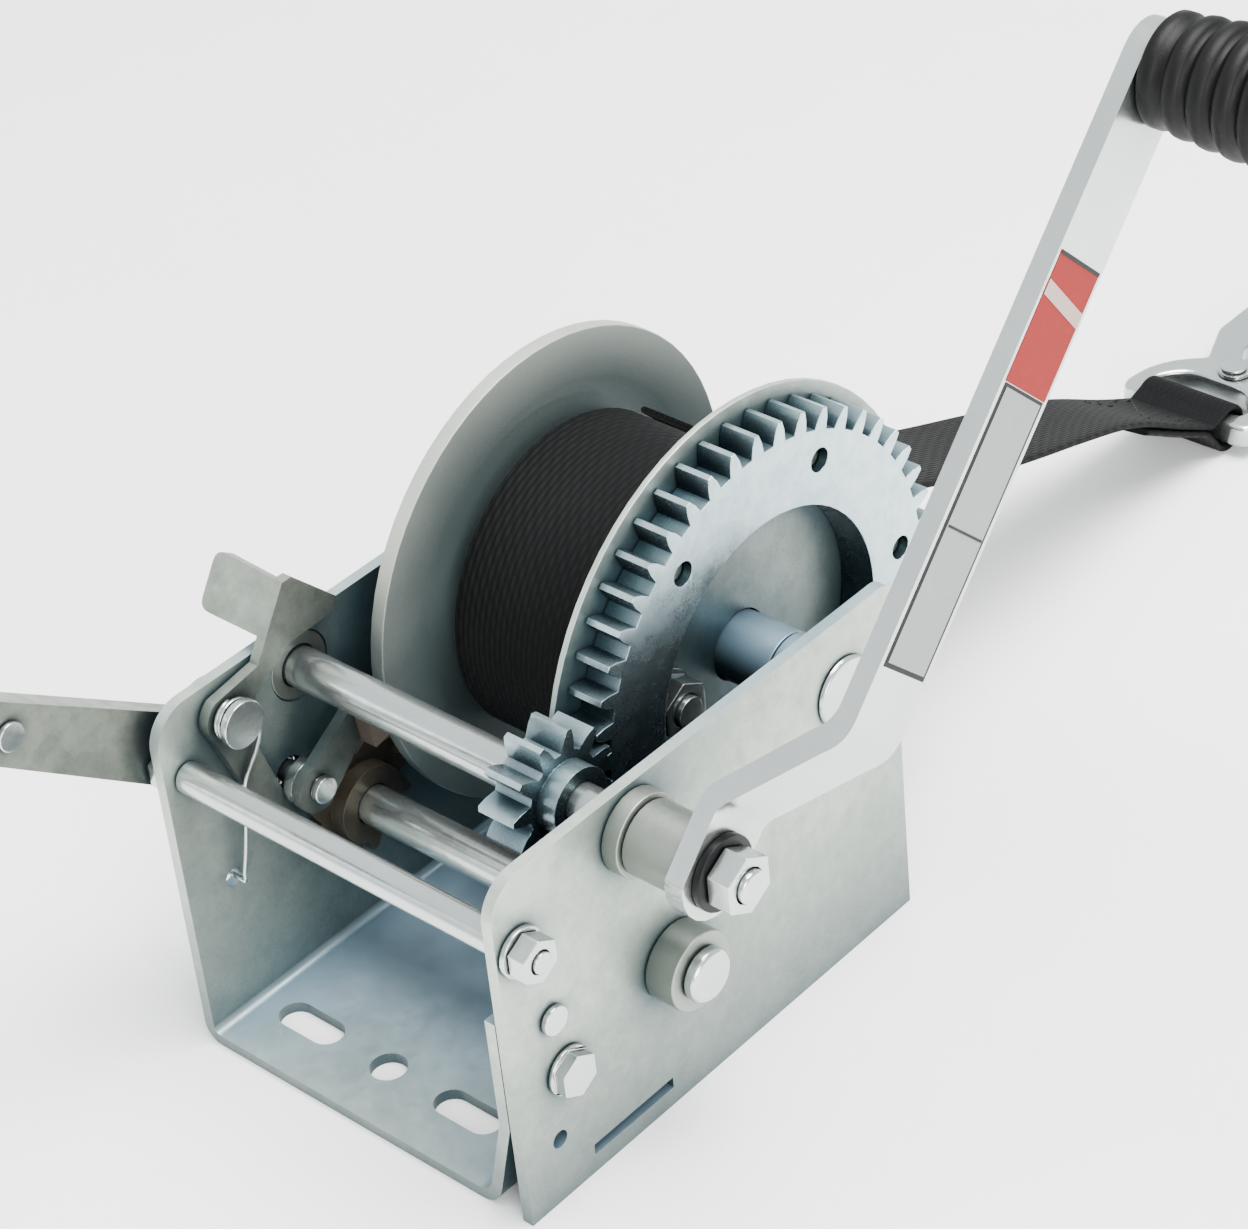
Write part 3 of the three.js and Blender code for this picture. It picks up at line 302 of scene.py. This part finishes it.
turned_bar("bright_zinc_bar", "#ccd0cd", "#b2bab8", 0.2, 0.8)
turned_bar("dull_zinc_casting", "#9ca098", "#7e847e", 0.42, 1.5)
print("bar finishes:", [n for n in materials if "bar" in n or "casting" in n])

# %% [markdown]
# ## Coated drum flange
# The left drum flange is spun from sheet and has a thick matt grey coat. Spinning leaves faint rings about
# the drum's own axis, and the coat shows a fine orange peel.

# %% Matt grey coat
material, tree, shader = start_material("matt_grey_coat")
drum_axis = Vector(joints["drum_spin"]["pos_m"])
place = add(tree, "ShaderNodeTexCoord")
centred = add(tree, "ShaderNodeMapping", {"Location": (0.0, -drum_axis.y, -drum_axis.z)},
              {"Vector": place.outputs["Object"]})
split = add(tree, "ShaderNodeSeparateXYZ", links={"Vector": centred.outputs["Vector"]})
flat = add(tree, "ShaderNodeCombineXYZ", links={"Y": split.outputs["Y"], "Z": split.outputs["Z"]})
radius = add(tree, "ShaderNodeVectorMath", {"operation": "LENGTH"}, {0: flat.outputs["Vector"]})
radius_only = add(tree, "ShaderNodeCombineXYZ", links={"X": radius.outputs["Value"]})
spun = add(tree, "ShaderNodeTexNoise", {"Scale": per_metre(1.3), "Detail": 3.0},
           {"Vector": radius_only.outputs["Vector"]})
clouds = add(tree, "ShaderNodeTexNoise", {"Scale": per_metre(25), "Detail": 4.0},
             {"Vector": place.outputs["Object"]})
peel = add(tree, "ShaderNodeTexNoise", {"Scale": per_metre(1.1), "Detail": 2.0},
           {"Vector": place.outputs["Object"]})
colour = add(tree, "ShaderNodeMix", {"data_type": "RGBA", 6: linear("#949b94"), 7: linear("#b0b2a6")},
             {0: clouds.outputs["Fac"]})
# Painted shade: where the drum closes round the inside of the flange, an occlusion mask darkens it towards deep
# teal.
inside = add(tree, "ShaderNodeAmbientOcclusion", {"Distance": 90 * MM, "samples": 8})
inside_shade_mask = add(tree, "ShaderNodeMapRange",
                  {"From Min": 0.4, "From Max": 0.95, "To Min": 0.9, "To Max": 0.0},
                  {"Value": inside.outputs["AO"]})
shaded = add(tree, "ShaderNodeMix", {"data_type": "RGBA", 7: linear("#283a3f")},
             {0: inside_shade_mask.outputs["Result"], 6: colour.outputs[2]})
tree.links.new(shaded.outputs[2], shader.inputs["Base Color"])
shader.inputs["Metallic"].default_value = 0.35
sheen = add(tree, "ShaderNodeMapRange", {"To Min": 0.42, "To Max": 0.62}, {"Value": clouds.outputs["Fac"]})
tree.links.new(sheen.outputs["Result"], shader.inputs["Roughness"])
ring_bump = add(tree, "ShaderNodeBump", {"Strength": 0.3, "Distance": 0.08 * MM},
                {"Height": spun.outputs["Fac"]})
peel_bump = add(tree, "ShaderNodeBump", {"Strength": 0.2, "Distance": 0.05 * MM},
                {"Height": peel.outputs["Fac"], "Normal": ring_bump.outputs["Normal"]})
tree.links.new(peel_bump.outputs["Normal"], shader.inputs["Normal"])
materials["matt_grey_coat"] = material
print("flange finish ready")

# %% [markdown]
# ## Rubber, nylon and brake lining
# The grip and the lever's sleeve are soft moulded rubber with a fine spark-eroded grain, which keeps
# highlights wide and dim. The washer under the crank nut is harder nylon. The two shaft clips are
# blackened spring steel, which looks the same at this size, so they share its finish. The brake pad is a
# pressed lining with lighter fibres in it.

# %% Moulded black pieces
def moulded(name, light, deep, roughness, grain_mm, depth_mm):
    material, tree, shader = start_material(name)
    place = add(tree, "ShaderNodeTexCoord")
    grain = add(tree, "ShaderNodeTexNoise", {"Scale": per_metre(grain_mm), "Detail": 4.0, "Roughness": 0.6},
                {"Vector": place.outputs["Object"]})
    wear = add(tree, "ShaderNodeTexNoise", {"Scale": per_metre(17), "Detail": 5.0},
               {"Vector": place.outputs["Object"]})
    colour = add(tree, "ShaderNodeMix", {"data_type": "RGBA", 6: linear(deep), 7: linear(light)},
                 {0: wear.outputs["Fac"]})
    tree.links.new(colour.outputs[2], shader.inputs["Base Color"])
    sheen = add(tree, "ShaderNodeMapRange", {"From Min": 0.3, "From Max": 0.7, "To Min": roughness - 0.08,
                                             "To Max": roughness + 0.1}, {"Value": wear.outputs["Fac"]})
    tree.links.new(sheen.outputs["Result"], shader.inputs["Roughness"])
    shader.inputs["Specular IOR Level"].default_value = 0.16
    bump = add(tree, "ShaderNodeBump", {"Strength": 0.45, "Distance": depth_mm * MM},
               {"Height": grain.outputs["Fac"]})
    tree.links.new(bump.outputs["Normal"], shader.inputs["Normal"])
    materials[name] = material
    return material


moulded("moulded_rubber", "#080808", "#030303", 0.5, 0.8, 0.12)
moulded("black_nylon", "#0c0c0d", "#050506", 0.36, 1.4, 0.05)
moulded("brake_lining", "#4a433c", "#2a2623", 0.85, 0.7, 0.2)
print("moulded finishes ready")

# %% [markdown]
# ## Polyester webbing
# The strap is woven from black polyester. Thick warp cords run along it, thin weft threads cross them and
# push every second cord up, and the edges are bound tighter than the middle. The strap pieces carry a map
# measured in metres, u across and v along, so one weave fits the wound roll and the free end alike. Real
# cords lie about 1.2 mm apart; here they are 1.7 mm, so that they show.

# %% Webbing weave
CORD_MM, WEFT_MM = 1.7, 2.6
material, tree, shader = start_material("polyester_webbing")
thread = add(tree, "ShaderNodeUVMap", {"uv_map": "thread"})
across = add(tree, "ShaderNodeSeparateXYZ", links={"Vector": thread.outputs["UV"]})
cord_turns = add(tree, "ShaderNodeMath", {"operation": "MULTIPLY", 1: 2 * math.pi / (2 * CORD_MM * MM)},
                 {0: across.outputs["X"]})
weft_turns = add(tree, "ShaderNodeMath", {"operation": "MULTIPLY", 1: 2 * math.pi / (2 * WEFT_MM * MM)},
                 {0: across.outputs["Y"]})
cord = add(tree, "ShaderNodeMath", {"operation": "SINE"}, {0: cord_turns.outputs["Value"]})
weft = add(tree, "ShaderNodeMath", {"operation": "SINE"}, {0: weft_turns.outputs["Value"]})
over_under = add(tree, "ShaderNodeMath", {"operation": "MULTIPLY"},
                 {0: cord.outputs["Value"], 1: weft.outputs["Value"]})
cord_round = add(tree, "ShaderNodeMath", {"operation": "ABSOLUTE"}, {0: cord.outputs["Value"]})
relief = add(tree, "ShaderNodeMath", {"operation": "MULTIPLY_ADD", 1: 0.45},
             {0: over_under.outputs["Value"], 2: cord_round.outputs["Value"]})
fuzz = add(tree, "ShaderNodeTexNoise", {"Scale": per_metre(0.5), "Detail": 3.0},
           {"Vector": thread.outputs["UV"]})
fade = add(tree, "ShaderNodeTexNoise", {"Scale": per_metre(22), "Detail": 4.0},
           {"Vector": thread.outputs["UV"]})
# Painted shade in the weave: the colour is darker where the cords sink and lighter where they rise.
lift = add(tree, "ShaderNodeMapRange", {"From Min": -0.4, "From Max": 1.4},
           {"Value": relief.outputs["Value"]})
yarn_with_weave_shade = add(tree, "ShaderNodeMix", {"data_type": "RGBA", 6: linear("#030303"), 7: linear("#0b0c0d")},
           {0: lift.outputs["Result"]})
worn = add(tree, "ShaderNodeMapRange", {"From Min": 0.45, "From Max": 0.8, "To Min": 0.0, "To Max": 0.35},
           {"Value": fade.outputs["Fac"]})
dust_and_corner_shade = add(tree, "ShaderNodeMix", {"data_type": "RGBA", 7: linear("#121213")},
            {0: worn.outputs["Result"], 6: yarn_with_weave_shade.outputs[2]})
tree.links.new(dust_and_corner_shade.outputs[2], shader.inputs["Base Color"])
shader.inputs["Roughness"].default_value = 0.78
shader.inputs["Specular IOR Level"].default_value = 0.12
weave_bump = add(tree, "ShaderNodeBump", {"Strength": 0.7, "Distance": 0.35 * MM},
                 {"Height": relief.outputs["Value"]})
fuzz_bump = add(tree, "ShaderNodeBump", {"Strength": 0.3, "Distance": 0.15 * MM},
                {"Height": fuzz.outputs["Fac"], "Normal": weave_bump.outputs["Normal"]})
tree.links.new(fuzz_bump.outputs["Normal"], shader.inputs["Normal"])
materials["polyester_webbing"] = material
print("webbing: cords every", CORD_MM, "mm, weft every", WEFT_MM, "mm")

# %% [markdown]
# ## Label film
# Thin printed film sticks to the flat of the crank arm: a red warning field with a pale band and a long
# grey field with a dark border. They carry no words here. Film is smooth vinyl, a little uneven over the
# plating under it, with scratches that let the light catch.

# %% Vinyl films
def film(name, colour_hex, worn_hex):
    material, tree, shader = start_material(name)
    place = add(tree, "ShaderNodeTexCoord")
    rub = add(tree, "ShaderNodeTexNoise", {"Scale": per_metre(5), "Detail": 7.0, "Roughness": 0.75},
              {"Vector": place.outputs["Object"]})
    rubbed = add(tree, "ShaderNodeMapRange",
                 {"From Min": 0.5, "From Max": 0.8, "To Min": 0.0, "To Max": 0.5},
                 {"Value": rub.outputs["Fac"]})
    colour = add(tree, "ShaderNodeMix", {"data_type": "RGBA", 6: linear(colour_hex), 7: linear(worn_hex)},
                 {0: rubbed.outputs["Result"]})
    tree.links.new(colour.outputs[2], shader.inputs["Base Color"])
    sheen = add(tree, "ShaderNodeMapRange", {"To Min": 0.42, "To Max": 0.62}, {"Value": rub.outputs["Fac"]})
    tree.links.new(sheen.outputs["Result"], shader.inputs["Roughness"])
    shader.inputs["Specular IOR Level"].default_value = 0.14
    bump = add(tree, "ShaderNodeBump", {"Strength": 0.15, "Distance": 0.05 * MM},
               {"Height": rub.outputs["Fac"]})
    tree.links.new(bump.outputs["Normal"], shader.inputs["Normal"])
    materials[name] = material
    return material


film("red_vinyl", "#7c120d", "#93271f")
film("pale_vinyl", "#a8938c", "#94837d")
film("grey_vinyl", "#838785", "#939795")
film("dark_vinyl", "#18191b", "#313335")
print("films:", [n for n in materials if "vinyl" in n])

# %% [markdown]
# ## Soft edges on the solids
# A real pressed or sawn edge is never perfectly sharp: it has a tiny radius that catches a thin line of
# light. Modifiers leave the measured solid as it is and only change what is drawn, so each node gets the
# same stack: join the loose corners, shade the curves smoothly, round the edges and weigh the normals by
# area.

# %% Finish table
FINISHES = {
    "zinc_plated_sheet": (0.35, ["frame_channel", "side_plate_right", "drum_disc_right", "axle_spacer_left",
                                 "axle_spacer_right", "drum_hub"]),
    "zinc_plated_gear": (0.25, ["drum_gear", "low_pinion", "drive_pinion"]),
    "yellow_zinc_wheel": (0.25, ["ratchet_wheel"]),
    "zinc_plated_lever": (0.35, ["pawl", "brake_lever", "brake_arm"]),
    "bright_zinc_bar": (0.3, ["tie_tube", "tie_bolt", "tie_washer", "tie_nut", "drum_axle", "axle_nut",
                              "plate_bolt", "plate_nut", "plate_rivet", "strap_anchor_bolt", "strap_anchor_nut",
                              "input_shaft", "crank_arm", "crank_nut", "grip_pin", "low_shaft", "pawl_pivot",
                              "brake_pin", "brake_nut", "brake_rivet", "latch_pin", "hook_latch", "hook_body"]),
    "dull_zinc_casting": (0.35, ["bushing_upper_left", "bushing_upper_right", "bushing_lower_left",
                                 "bushing_lower_right", "crank_collar",
                                 "drum_core"] + [f"gear_rivet_{i}" for i in range(1, 7)]),
    "matt_grey_coat": (0.35, ["drum_flange_left"]),
    "black_nylon": (0.3, ["crank_washer", "input_shaft_clip", "low_shaft_clip"]),
    "moulded_rubber": (2.2, ["brake_grip"]),
    "brake_lining": (0.3, ["brake_pad"]),
}

smooth_tree = bpy.data.node_groups.new("join_and_smooth", "GeometryNodeTree")
smooth_tree.interface.new_socket("Geometry", in_out="INPUT", socket_type="NodeSocketGeometry")
smooth_tree.interface.new_socket("Geometry", in_out="OUTPUT", socket_type="NodeSocketGeometry")
group_in = add(smooth_tree, "NodeGroupInput")
joined = add(smooth_tree, "GeometryNodeMergeByDistance", {"Distance": 0.002 * MM},
             {"Geometry": group_in.outputs[0]})
smoothed = add(smooth_tree, "GeometryNodeSetShadeSmooth", {"Shade Smooth": True}, {0: joined.outputs[0]})
add(smooth_tree, "NodeGroupOutput", links={0: smoothed.outputs[0]})


def soften(piece, width_mm, segments=2):
    """Rounds the sharp edges of a piece without touching its mesh."""
    piece.modifiers.new("join_and_smooth", "NODES").node_group = smooth_tree
    bevel = piece.modifiers.new("edge_radius", "BEVEL")
    bevel.width = width_mm * MM
    bevel.segments = segments
    bevel.limit_method = "ANGLE"
    bevel.angle_limit = math.radians(32)
    weigh = piece.modifiers.new("weigh_normals", "WEIGHTED_NORMAL")
    weigh.mode = "FACE_AREA_WITH_ANGLE"
    weigh.weight = 80


for finish, (edge_mm, names) in FINISHES.items():
    for name in names:
        piece = nodes[name]
        piece.data.materials.clear()
        piece.data.materials.append(materials[finish])
        soften(piece, edge_mm, 3 if edge_mm > 1 else 2)
    print(finish, "on", len(names), "nodes")

# The spring is a wire: no edge to round, only its facets to smooth.
nodes["pawl_spring"].data.materials.clear()
nodes["pawl_spring"].data.materials.append(materials["bright_zinc_bar"])
nodes["pawl_spring"].modifiers.new("join_and_smooth", "NODES").node_group = smooth_tree

# %% [markdown]
# ## The wound strap
# Webbing on a drum is one long strip in a spiral. Drawn as a real spiral with a small step at every turn
# and edges that wander a little, it shows its layers from both sides and its lap on top, which a plain
# ring cannot. Each cross-section has rounded edges, and the map runs along the strip.

# %% Strip builder
STRAP_THICK = 1.7 * MM
CORE_CLEARANCE = 0.4 * MM
TURN_SPACING = 1.22           # one turn's step outwards, in strap thicknesses, before it is rounded
WOUND_WIDTH = 49.2 * MM


def strip_section(width, thick):
    """Points round a webbing's cross-section as (across, height), edges rounded."""
    half, rise = width / 2, thick / 2
    top = [(-half, 0.0), (-half + rise * 0.35, rise * 0.75), (-half + rise, rise)]
    inner = [(half * k / 4, rise) for k in range(-3, 4)]
    upper = top + inner + [(-x, z) for x, z in reversed(top)]
    lower = [(x, -z) for x, z in reversed(upper[1:-1])]
    return upper + lower


def strip_mesh(name, stations):
    """A closed strip through stations of (centre, side, normal, width, distance along)."""
    vertices, faces, u_of, v_of = [], [], [], []
    for centre, side, normal, width, along in stations:
        for across, height in strip_section(width, STRAP_THICK):
            vertices.append(centre + side * across + normal * height)
            u_of.append(across * 0.05 / width + (0.1 if height < 0 else 0.0))
            v_of.append(along)
    ring = len(vertices) // len(stations)
    for i in range(len(stations) - 1):
        for k in range(ring):
            a, b = i * ring + k, i * ring + (k + 1) % ring
            faces.append((a, b, b + ring, a + ring))
    faces.append(tuple(reversed(range(ring))))
    faces.append(tuple(range((len(stations) - 1) * ring, len(stations) * ring)))
    piece = new_mesh(name, vertices, faces)
    mesh = bmesh.new()
    mesh.from_mesh(piece.data)
    bmesh.ops.recalc_face_normals(mesh, faces=mesh.faces)
    mesh.to_mesh(piece.data)
    mesh.free()
    layer = piece.data.uv_layers.new(name="thread")
    for loop in piece.data.loops:
        layer.data[loop.index].uv = (u_of[loop.vertex_index], v_of[loop.vertex_index])
    for face in piece.data.polygons:
        face.use_smooth = len(face.vertices) == 4
    piece.data.materials.append(materials["polyester_webbing"])
    return piece


# %% Wind the spiral
roll_low, roll_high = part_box("strap_roll")
core_r = (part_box("drum_core")[1].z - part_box("drum_core")[0].z) / 2
roll_r = (roll_high.z - roll_low.z) / 2
roll_mid = (roll_low.x + roll_high.x) / 2
LEAVE = math.radians(44)      # where the free end leaves the roll
turns = int((roll_r - core_r - STRAP_THICK) / (TURN_SPACING * STRAP_THICK))
pitch = (roll_r - core_r - STRAP_THICK - CORE_CLEARANCE) / turns
steps = 56
stations, along = [], 0.0
for i in range(turns * steps + 1):
    turn = i / steps
    radius_here = core_r + CORE_CLEARANCE + STRAP_THICK / 2 + pitch * turn
    angle = LEAVE + (turn - turns) * -2 * math.pi
    wander = 0.35 * MM * math.sin(2.1 * turn + 0.6) + 0.25 * MM * math.sin(5.3 * turn)
    outwards = Vector((0, math.cos(angle), math.sin(angle)))
    centre = Vector((roll_mid + wander, drum_axis.y, drum_axis.z)) + outwards * radius_here
    along += 2 * math.pi * radius_here / steps
    stations.append((centre, Vector((1, 0, 0)), outwards, WOUND_WIDTH, along))
wound_strap = strip_mesh("wound_strap", stations)
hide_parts("strap_roll")
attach(wound_strap, "drum")
print("wound strap:", turns, "turns,", round(along, 2), "m")

# %% [markdown]
# ## The free end of the strap
# From the roll the strap runs out and down to the hook. It twists and narrows slightly, because its sewn
# end is folded to fit the hook's eye, then goes round the bar and back under itself, held by two straight
# rows of stitches and a cross between them. A strip along one smooth line with its width and tilt changing
# on the way is closer than cloth simulation here.

# %% Lay the free end
swing = Vector(joints["hook_swing"]["pos_m"])
hook_y, hook_z, strap_x = swing.y, swing.z, roll_mid
start_r = roll_r + 0.3 * MM + 1.0 * MM
TWIST = 0.20                  # rise of the strap's right edge per width, at the middle of its run
STRAP_WIDTH, NARROWING = 50, 21
SEAM_HALF = 10.5 * MM
guide = [
    (drum_axis.y + start_r * math.cos(LEAVE), drum_axis.z + start_r * math.sin(LEAVE)),
    (0.102, 0.084), (0.144, 0.064), (0.195, 0.045), (0.225, 0.033), (0.249, 0.020),
    (hook_y - 0.0082, hook_z + 0.0044),
]


def smooth_line(points, count):
    """Evenly spaced points on a smooth line through the given (y, z) points."""
    ends = [(2 * points[0][0] - points[1][0], 2 * points[0][1] - points[1][1]), *points,
            (2 * points[-1][0] - points[-2][0], 2 * points[-1][1] - points[-2][1])]
    dense = []
    for i in range(1, len(ends) - 2):
        for k in range(24):
            t = k / 24
            a, b, c, d = ends[i - 1], ends[i], ends[i + 1], ends[i + 2]
            dense.append(tuple(
                0.5 * (2 * b[j] + (c[j] - a[j]) * t + (2 * a[j] - 5 * b[j] + 4 * c[j] - d[j]) * t * t
                       + (3 * b[j] - a[j] - 3 * c[j] + d[j]) * t ** 3) for j in (0, 1)))
    dense.append(points[-1])
    lengths = [0.0]
    for p, q in zip(dense, dense[1:]):
        lengths.append(lengths[-1] + math.dist(p, q))
    out = []
    for n in range(count):
        goal, i = lengths[-1] * n / (count - 1), 0
        while i < len(dense) - 2 and lengths[i + 1] < goal:
            i += 1
        t = (goal - lengths[i]) / (lengths[i + 1] - lengths[i])
        out.append(tuple(dense[i][j] + (dense[i + 1][j] - dense[i][j]) * t for j in (0, 1)))
    return out


line = smooth_line(guide, 90)
LOOP_R = 6.2 * MM
loop = [(hook_y + LOOP_R * math.cos(math.radians(a)), hook_z + LOOP_R * math.sin(math.radians(a)))
        for a in range(118, -160, -10)]
under = [(y, z - 2.5 * MM) for y, z in reversed(line[-17:-1])]
path = line + loop + under
stations, along = [], 0.0
for i, (y, z) in enumerate(path):
    if i:
        along += math.dist(path[i - 1], path[i])
    before, after = path[max(i - 1, 0)], path[min(i + 1, len(path) - 1)]
    tangent = Vector((0, after[0] - before[0], after[1] - before[1])).normalized()
    share = min(max((y - guide[0][0]) / (hook_y - guide[0][0]), 0.0), 1.0)
    if i >= len(line):
        share = max(share, 0.85)
    ease = min(max((share - 0.35) / 0.6, 0.0), 1.0)
    width = (STRAP_WIDTH - NARROWING * ease * ease * (3 - 2 * ease)) * MM
    tilt = TWIST * math.sin(math.pi * min(max((y - guide[0][0]) / (hook_y - guide[0][0]), 0.0), 1.0))
    side = Vector((1, 0, tilt)).normalized()
    side = (side - tangent * side.dot(tangent)).normalized()
    normal = side.cross(tangent)
    ripple = 0.5 * MM * math.sin(3.2 * math.pi * share) * (1 if i < len(line) else 0)
    stations.append((Vector((strap_x, y, z + ripple)), side, normal, width - 0.6 * MM, along))
free_strap = strip_mesh("free_strap", stations)
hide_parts("strap_tail", "strap_loop")
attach(free_strap, "frame")
print("free strap:", round(along, 3), "m long")

# %% Sew the end
def stitch_row(name, y_from, y_to, across_from, across_to, count):
    """Short raised threads in a row on top of the free end, as one piece, in the plain black finish."""
    mesh = bmesh.new()
    for n in range(count):
        t = (n + 0.5) / count
        y = y_from + (y_to - y_from) * t
        x = across_from + (across_to - across_from) * t
        nearest = min(line, key=lambda p: abs(p[0] - y))
        share = (y - guide[0][0]) / (hook_y - guide[0][0])
        tilt = TWIST * math.sin(math.pi * share)
        spot = Vector((strap_x + x, y, nearest[1] + x * tilt + STRAP_THICK / 2 + 0.15 * MM))
        made = bmesh.ops.create_uvsphere(mesh, u_segments=8, v_segments=6, radius=0.5 * MM)
        along_row = Vector((across_to - across_from, y_to - y_from, 0)).normalized()
        turn = along_row.to_track_quat("X", "Z").to_matrix().to_4x4()
        thread_shape = Matrix.Diagonal((2.4, 0.8, 0.7, 1))
        bmesh.ops.transform(mesh, matrix=Matrix.Translation(spot) @ turn @ thread_shape, verts=made["verts"])
    piece = new_mesh(name, [], [])
    mesh.to_mesh(piece.data)
    mesh.free()
    for face in piece.data.polygons:
        face.use_smooth = True
    piece.data.materials.append(materials["moulded_rubber"])
    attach(piece, "frame")
    return piece


seam_y = (hook_y - 0.036, hook_y - 0.013)
rows = [
    stitch_row("stitches_left", *seam_y, -SEAM_HALF, -SEAM_HALF, 8),
    stitch_row("stitches_right", *seam_y, SEAM_HALF, SEAM_HALF, 8),
    stitch_row("stitches_cross_a", *seam_y, -SEAM_HALF, SEAM_HALF, 10),
    stitch_row("stitches_cross_b", *seam_y, SEAM_HALF, -SEAM_HALF, 10),
]
print("stitch rows:", len(rows))

# %% [markdown]
# ## The crank's grip
# The grip is a rubber sleeve with deep rings that turns on a pin. It is a body of revolution about the
# pin, so a profile spun about that axis gives it exactly: a slim collar, rings on a swelling body and a
# rounded end.

# %% Turn the grip
grip_axis = Vector(joints["grip_spin"]["pos_m"])
grip_low, grip_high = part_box("crank_grip")
grip_len = grip_high.x - grip_low.x
RIBS = 14
profile = [(7.0, 0.2), (12.2, 0.0), (12.6, 0.5), (12.6, 2.6), (12.1, 3.3)]
rib_pitch = (grip_len / MM - 14) / RIBS
for i in range(RIBS):
    swell = 12.4 + 2.4 * math.sin(math.pi * (i + 0.6) / RIBS)
    x = 5 + i * rib_pitch
    for k, (along_rib, height) in enumerate([(0.0, -1.7), (0.10, -1.5), (0.2, -0.3), (0.32, 0.35), (0.5, 0.5),
                                             (0.68, 0.35), (0.8, -0.3), (0.9, -1.5)]):
        profile.append((swell + height, x + along_rib * rib_pitch))
end = grip_len / MM
profile += [(12.9, end - 8.4), (13.2, end - 7), (13.0, end - 3.6), (12.2, end - 1.4), (10.8, end - 0.2),
            (9.4, end), (8.2, end - 0.3), (8.0, end - 1), (8.0, end - 8.2), (4.6, end - 8.4), (4.6, 0.6)]
AROUND = 72
vertices, faces = [], []
for k in range(AROUND):
    angle = 2 * math.pi * k / AROUND
    for r, x in profile:
        vertices.append((grip_low.x + x * MM, grip_axis.y + r * MM * math.cos(angle),
                         grip_axis.z + r * MM * math.sin(angle)))
count = len(profile)
for k in range(AROUND):
    for n in range(count):
        a, b = k * count + n, k * count + (n + 1) % count
        c, d = ((k + 1) % AROUND) * count + (n + 1) % count, ((k + 1) % AROUND) * count + n
        faces.append((a, b, c, d))
ribbed_grip = new_mesh("ribbed_grip", vertices, faces)
mesh = bmesh.new()
mesh.from_mesh(ribbed_grip.data)
bmesh.ops.recalc_face_normals(mesh, faces=mesh.faces)
mesh.to_mesh(ribbed_grip.data)
mesh.free()
for face in ribbed_grip.data.polygons:
    face.use_smooth = True
ribbed_grip.data.materials.append(materials["moulded_rubber"])
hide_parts("crank_grip")
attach(ribbed_grip, "grip")
print("grip:", len(ribbed_grip.data.polygons), "faces,", round(grip_len / MM, 1), "mm long")

# %% [markdown]
# ## The labels on the crank arm
# Each film is a thin plate laid on the arm's outer face. Its place is measured along the arm from the
# crank shaft, so it turns with the crank. The border is a slightly larger dark film under the grey one.

# %% Stick on the films
shaft = Vector(joints["input_spin"]["pos_m"])
arm_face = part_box("crank_arm")[1].x
reach = Vector((0, grip_axis.y - shaft.y, grip_axis.z - shaft.z)).normalized()
broad = Vector((0, -reach.z, reach.y))


def lay_film(name, from_mm, to_mm, half_mm, lift_mm, finish, slant_mm=0.0):
    """A film 0.12 mm thick on the arm's outer face; slant shears its ends."""
    corners = []
    for x in (lift_mm, lift_mm + 0.12):
        for u, w in ((from_mm - slant_mm, -half_mm), (to_mm - slant_mm, -half_mm),
                     (to_mm + slant_mm, half_mm), (from_mm + slant_mm, half_mm)):
            spot = shaft + reach * u * MM + broad * w * MM
            corners.append((arm_face + x * MM, spot.y, spot.z))
    sides = [(0, 1, 2, 3), (7, 6, 5, 4), (0, 4, 5, 1), (1, 5, 6, 2), (2, 6, 7, 3), (3, 7, 4, 0)]
    piece = new_mesh(name, corners, sides)
    mesh = bmesh.new()
    mesh.from_mesh(piece.data)
    bmesh.ops.recalc_face_normals(mesh, faces=mesh.faces)
    mesh.to_mesh(piece.data)
    mesh.free()
    rounding = piece.modifiers.new("film_edge", "BEVEL")
    rounding.width = 0.04 * MM
    piece.data.materials.append(materials[finish])
    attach(piece, "crank")
    return piece


lay_film("label_border", 53.5, 117.0, 8.6, 0.02, "dark_vinyl")
lay_film("label_field", 54.6, 116.2, 7.7, 0.16, "grey_vinyl")
lay_film("label_rule", 85.0, 85.6, 7.4, 0.30, "dark_vinyl")
lay_film("label_red", 117.2, 146.5, 8.9, 0.02, "red_vinyl")
lay_film("label_band", 135.2, 138.6, 8.8, 0.16, "pale_vinyl", 1.4)
lay_film("label_top_rule", 145.6, 146.5, 8.8, 0.16, "dark_vinyl")
print("films laid:", 6)

# %% [markdown]
# ## The forged hook
# The hook is a drop forging, so nothing on it is square. Filling a copy of the solid with small voxels and
# relaxing them rounds every edge like a forging die does, while the shape stays where it was.

# %% Forge the hook
forged_hook = bpy.data.objects.new("forged_hook", nodes["hook_body"].data.copy())
bpy.context.scene.collection.objects.link(forged_hook)
voxels = forged_hook.modifiers.new("voxels", "REMESH")
voxels.mode = "VOXEL"
voxels.voxel_size = 0.7 * MM
relax = forged_hook.modifiers.new("relax", "SMOOTH")
relax.factor = 0.6
relax.iterations = 14
bpy.context.view_layer.update()
evaluated = forged_hook.evaluated_get(bpy.context.evaluated_depsgraph_get())
forged = bpy.data.meshes.new_from_object(evaluated)
forged_hook.modifiers.clear()
forged_hook.data = forged
for face in forged_hook.data.polygons:
    face.use_smooth = True
forged_hook.data.materials.clear()
forged_hook.data.materials.append(materials["bright_zinc_bar"])
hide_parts("hook_body")
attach(forged_hook, "hook")
print("hook:", len(forged_hook.data.polygons), "faces")
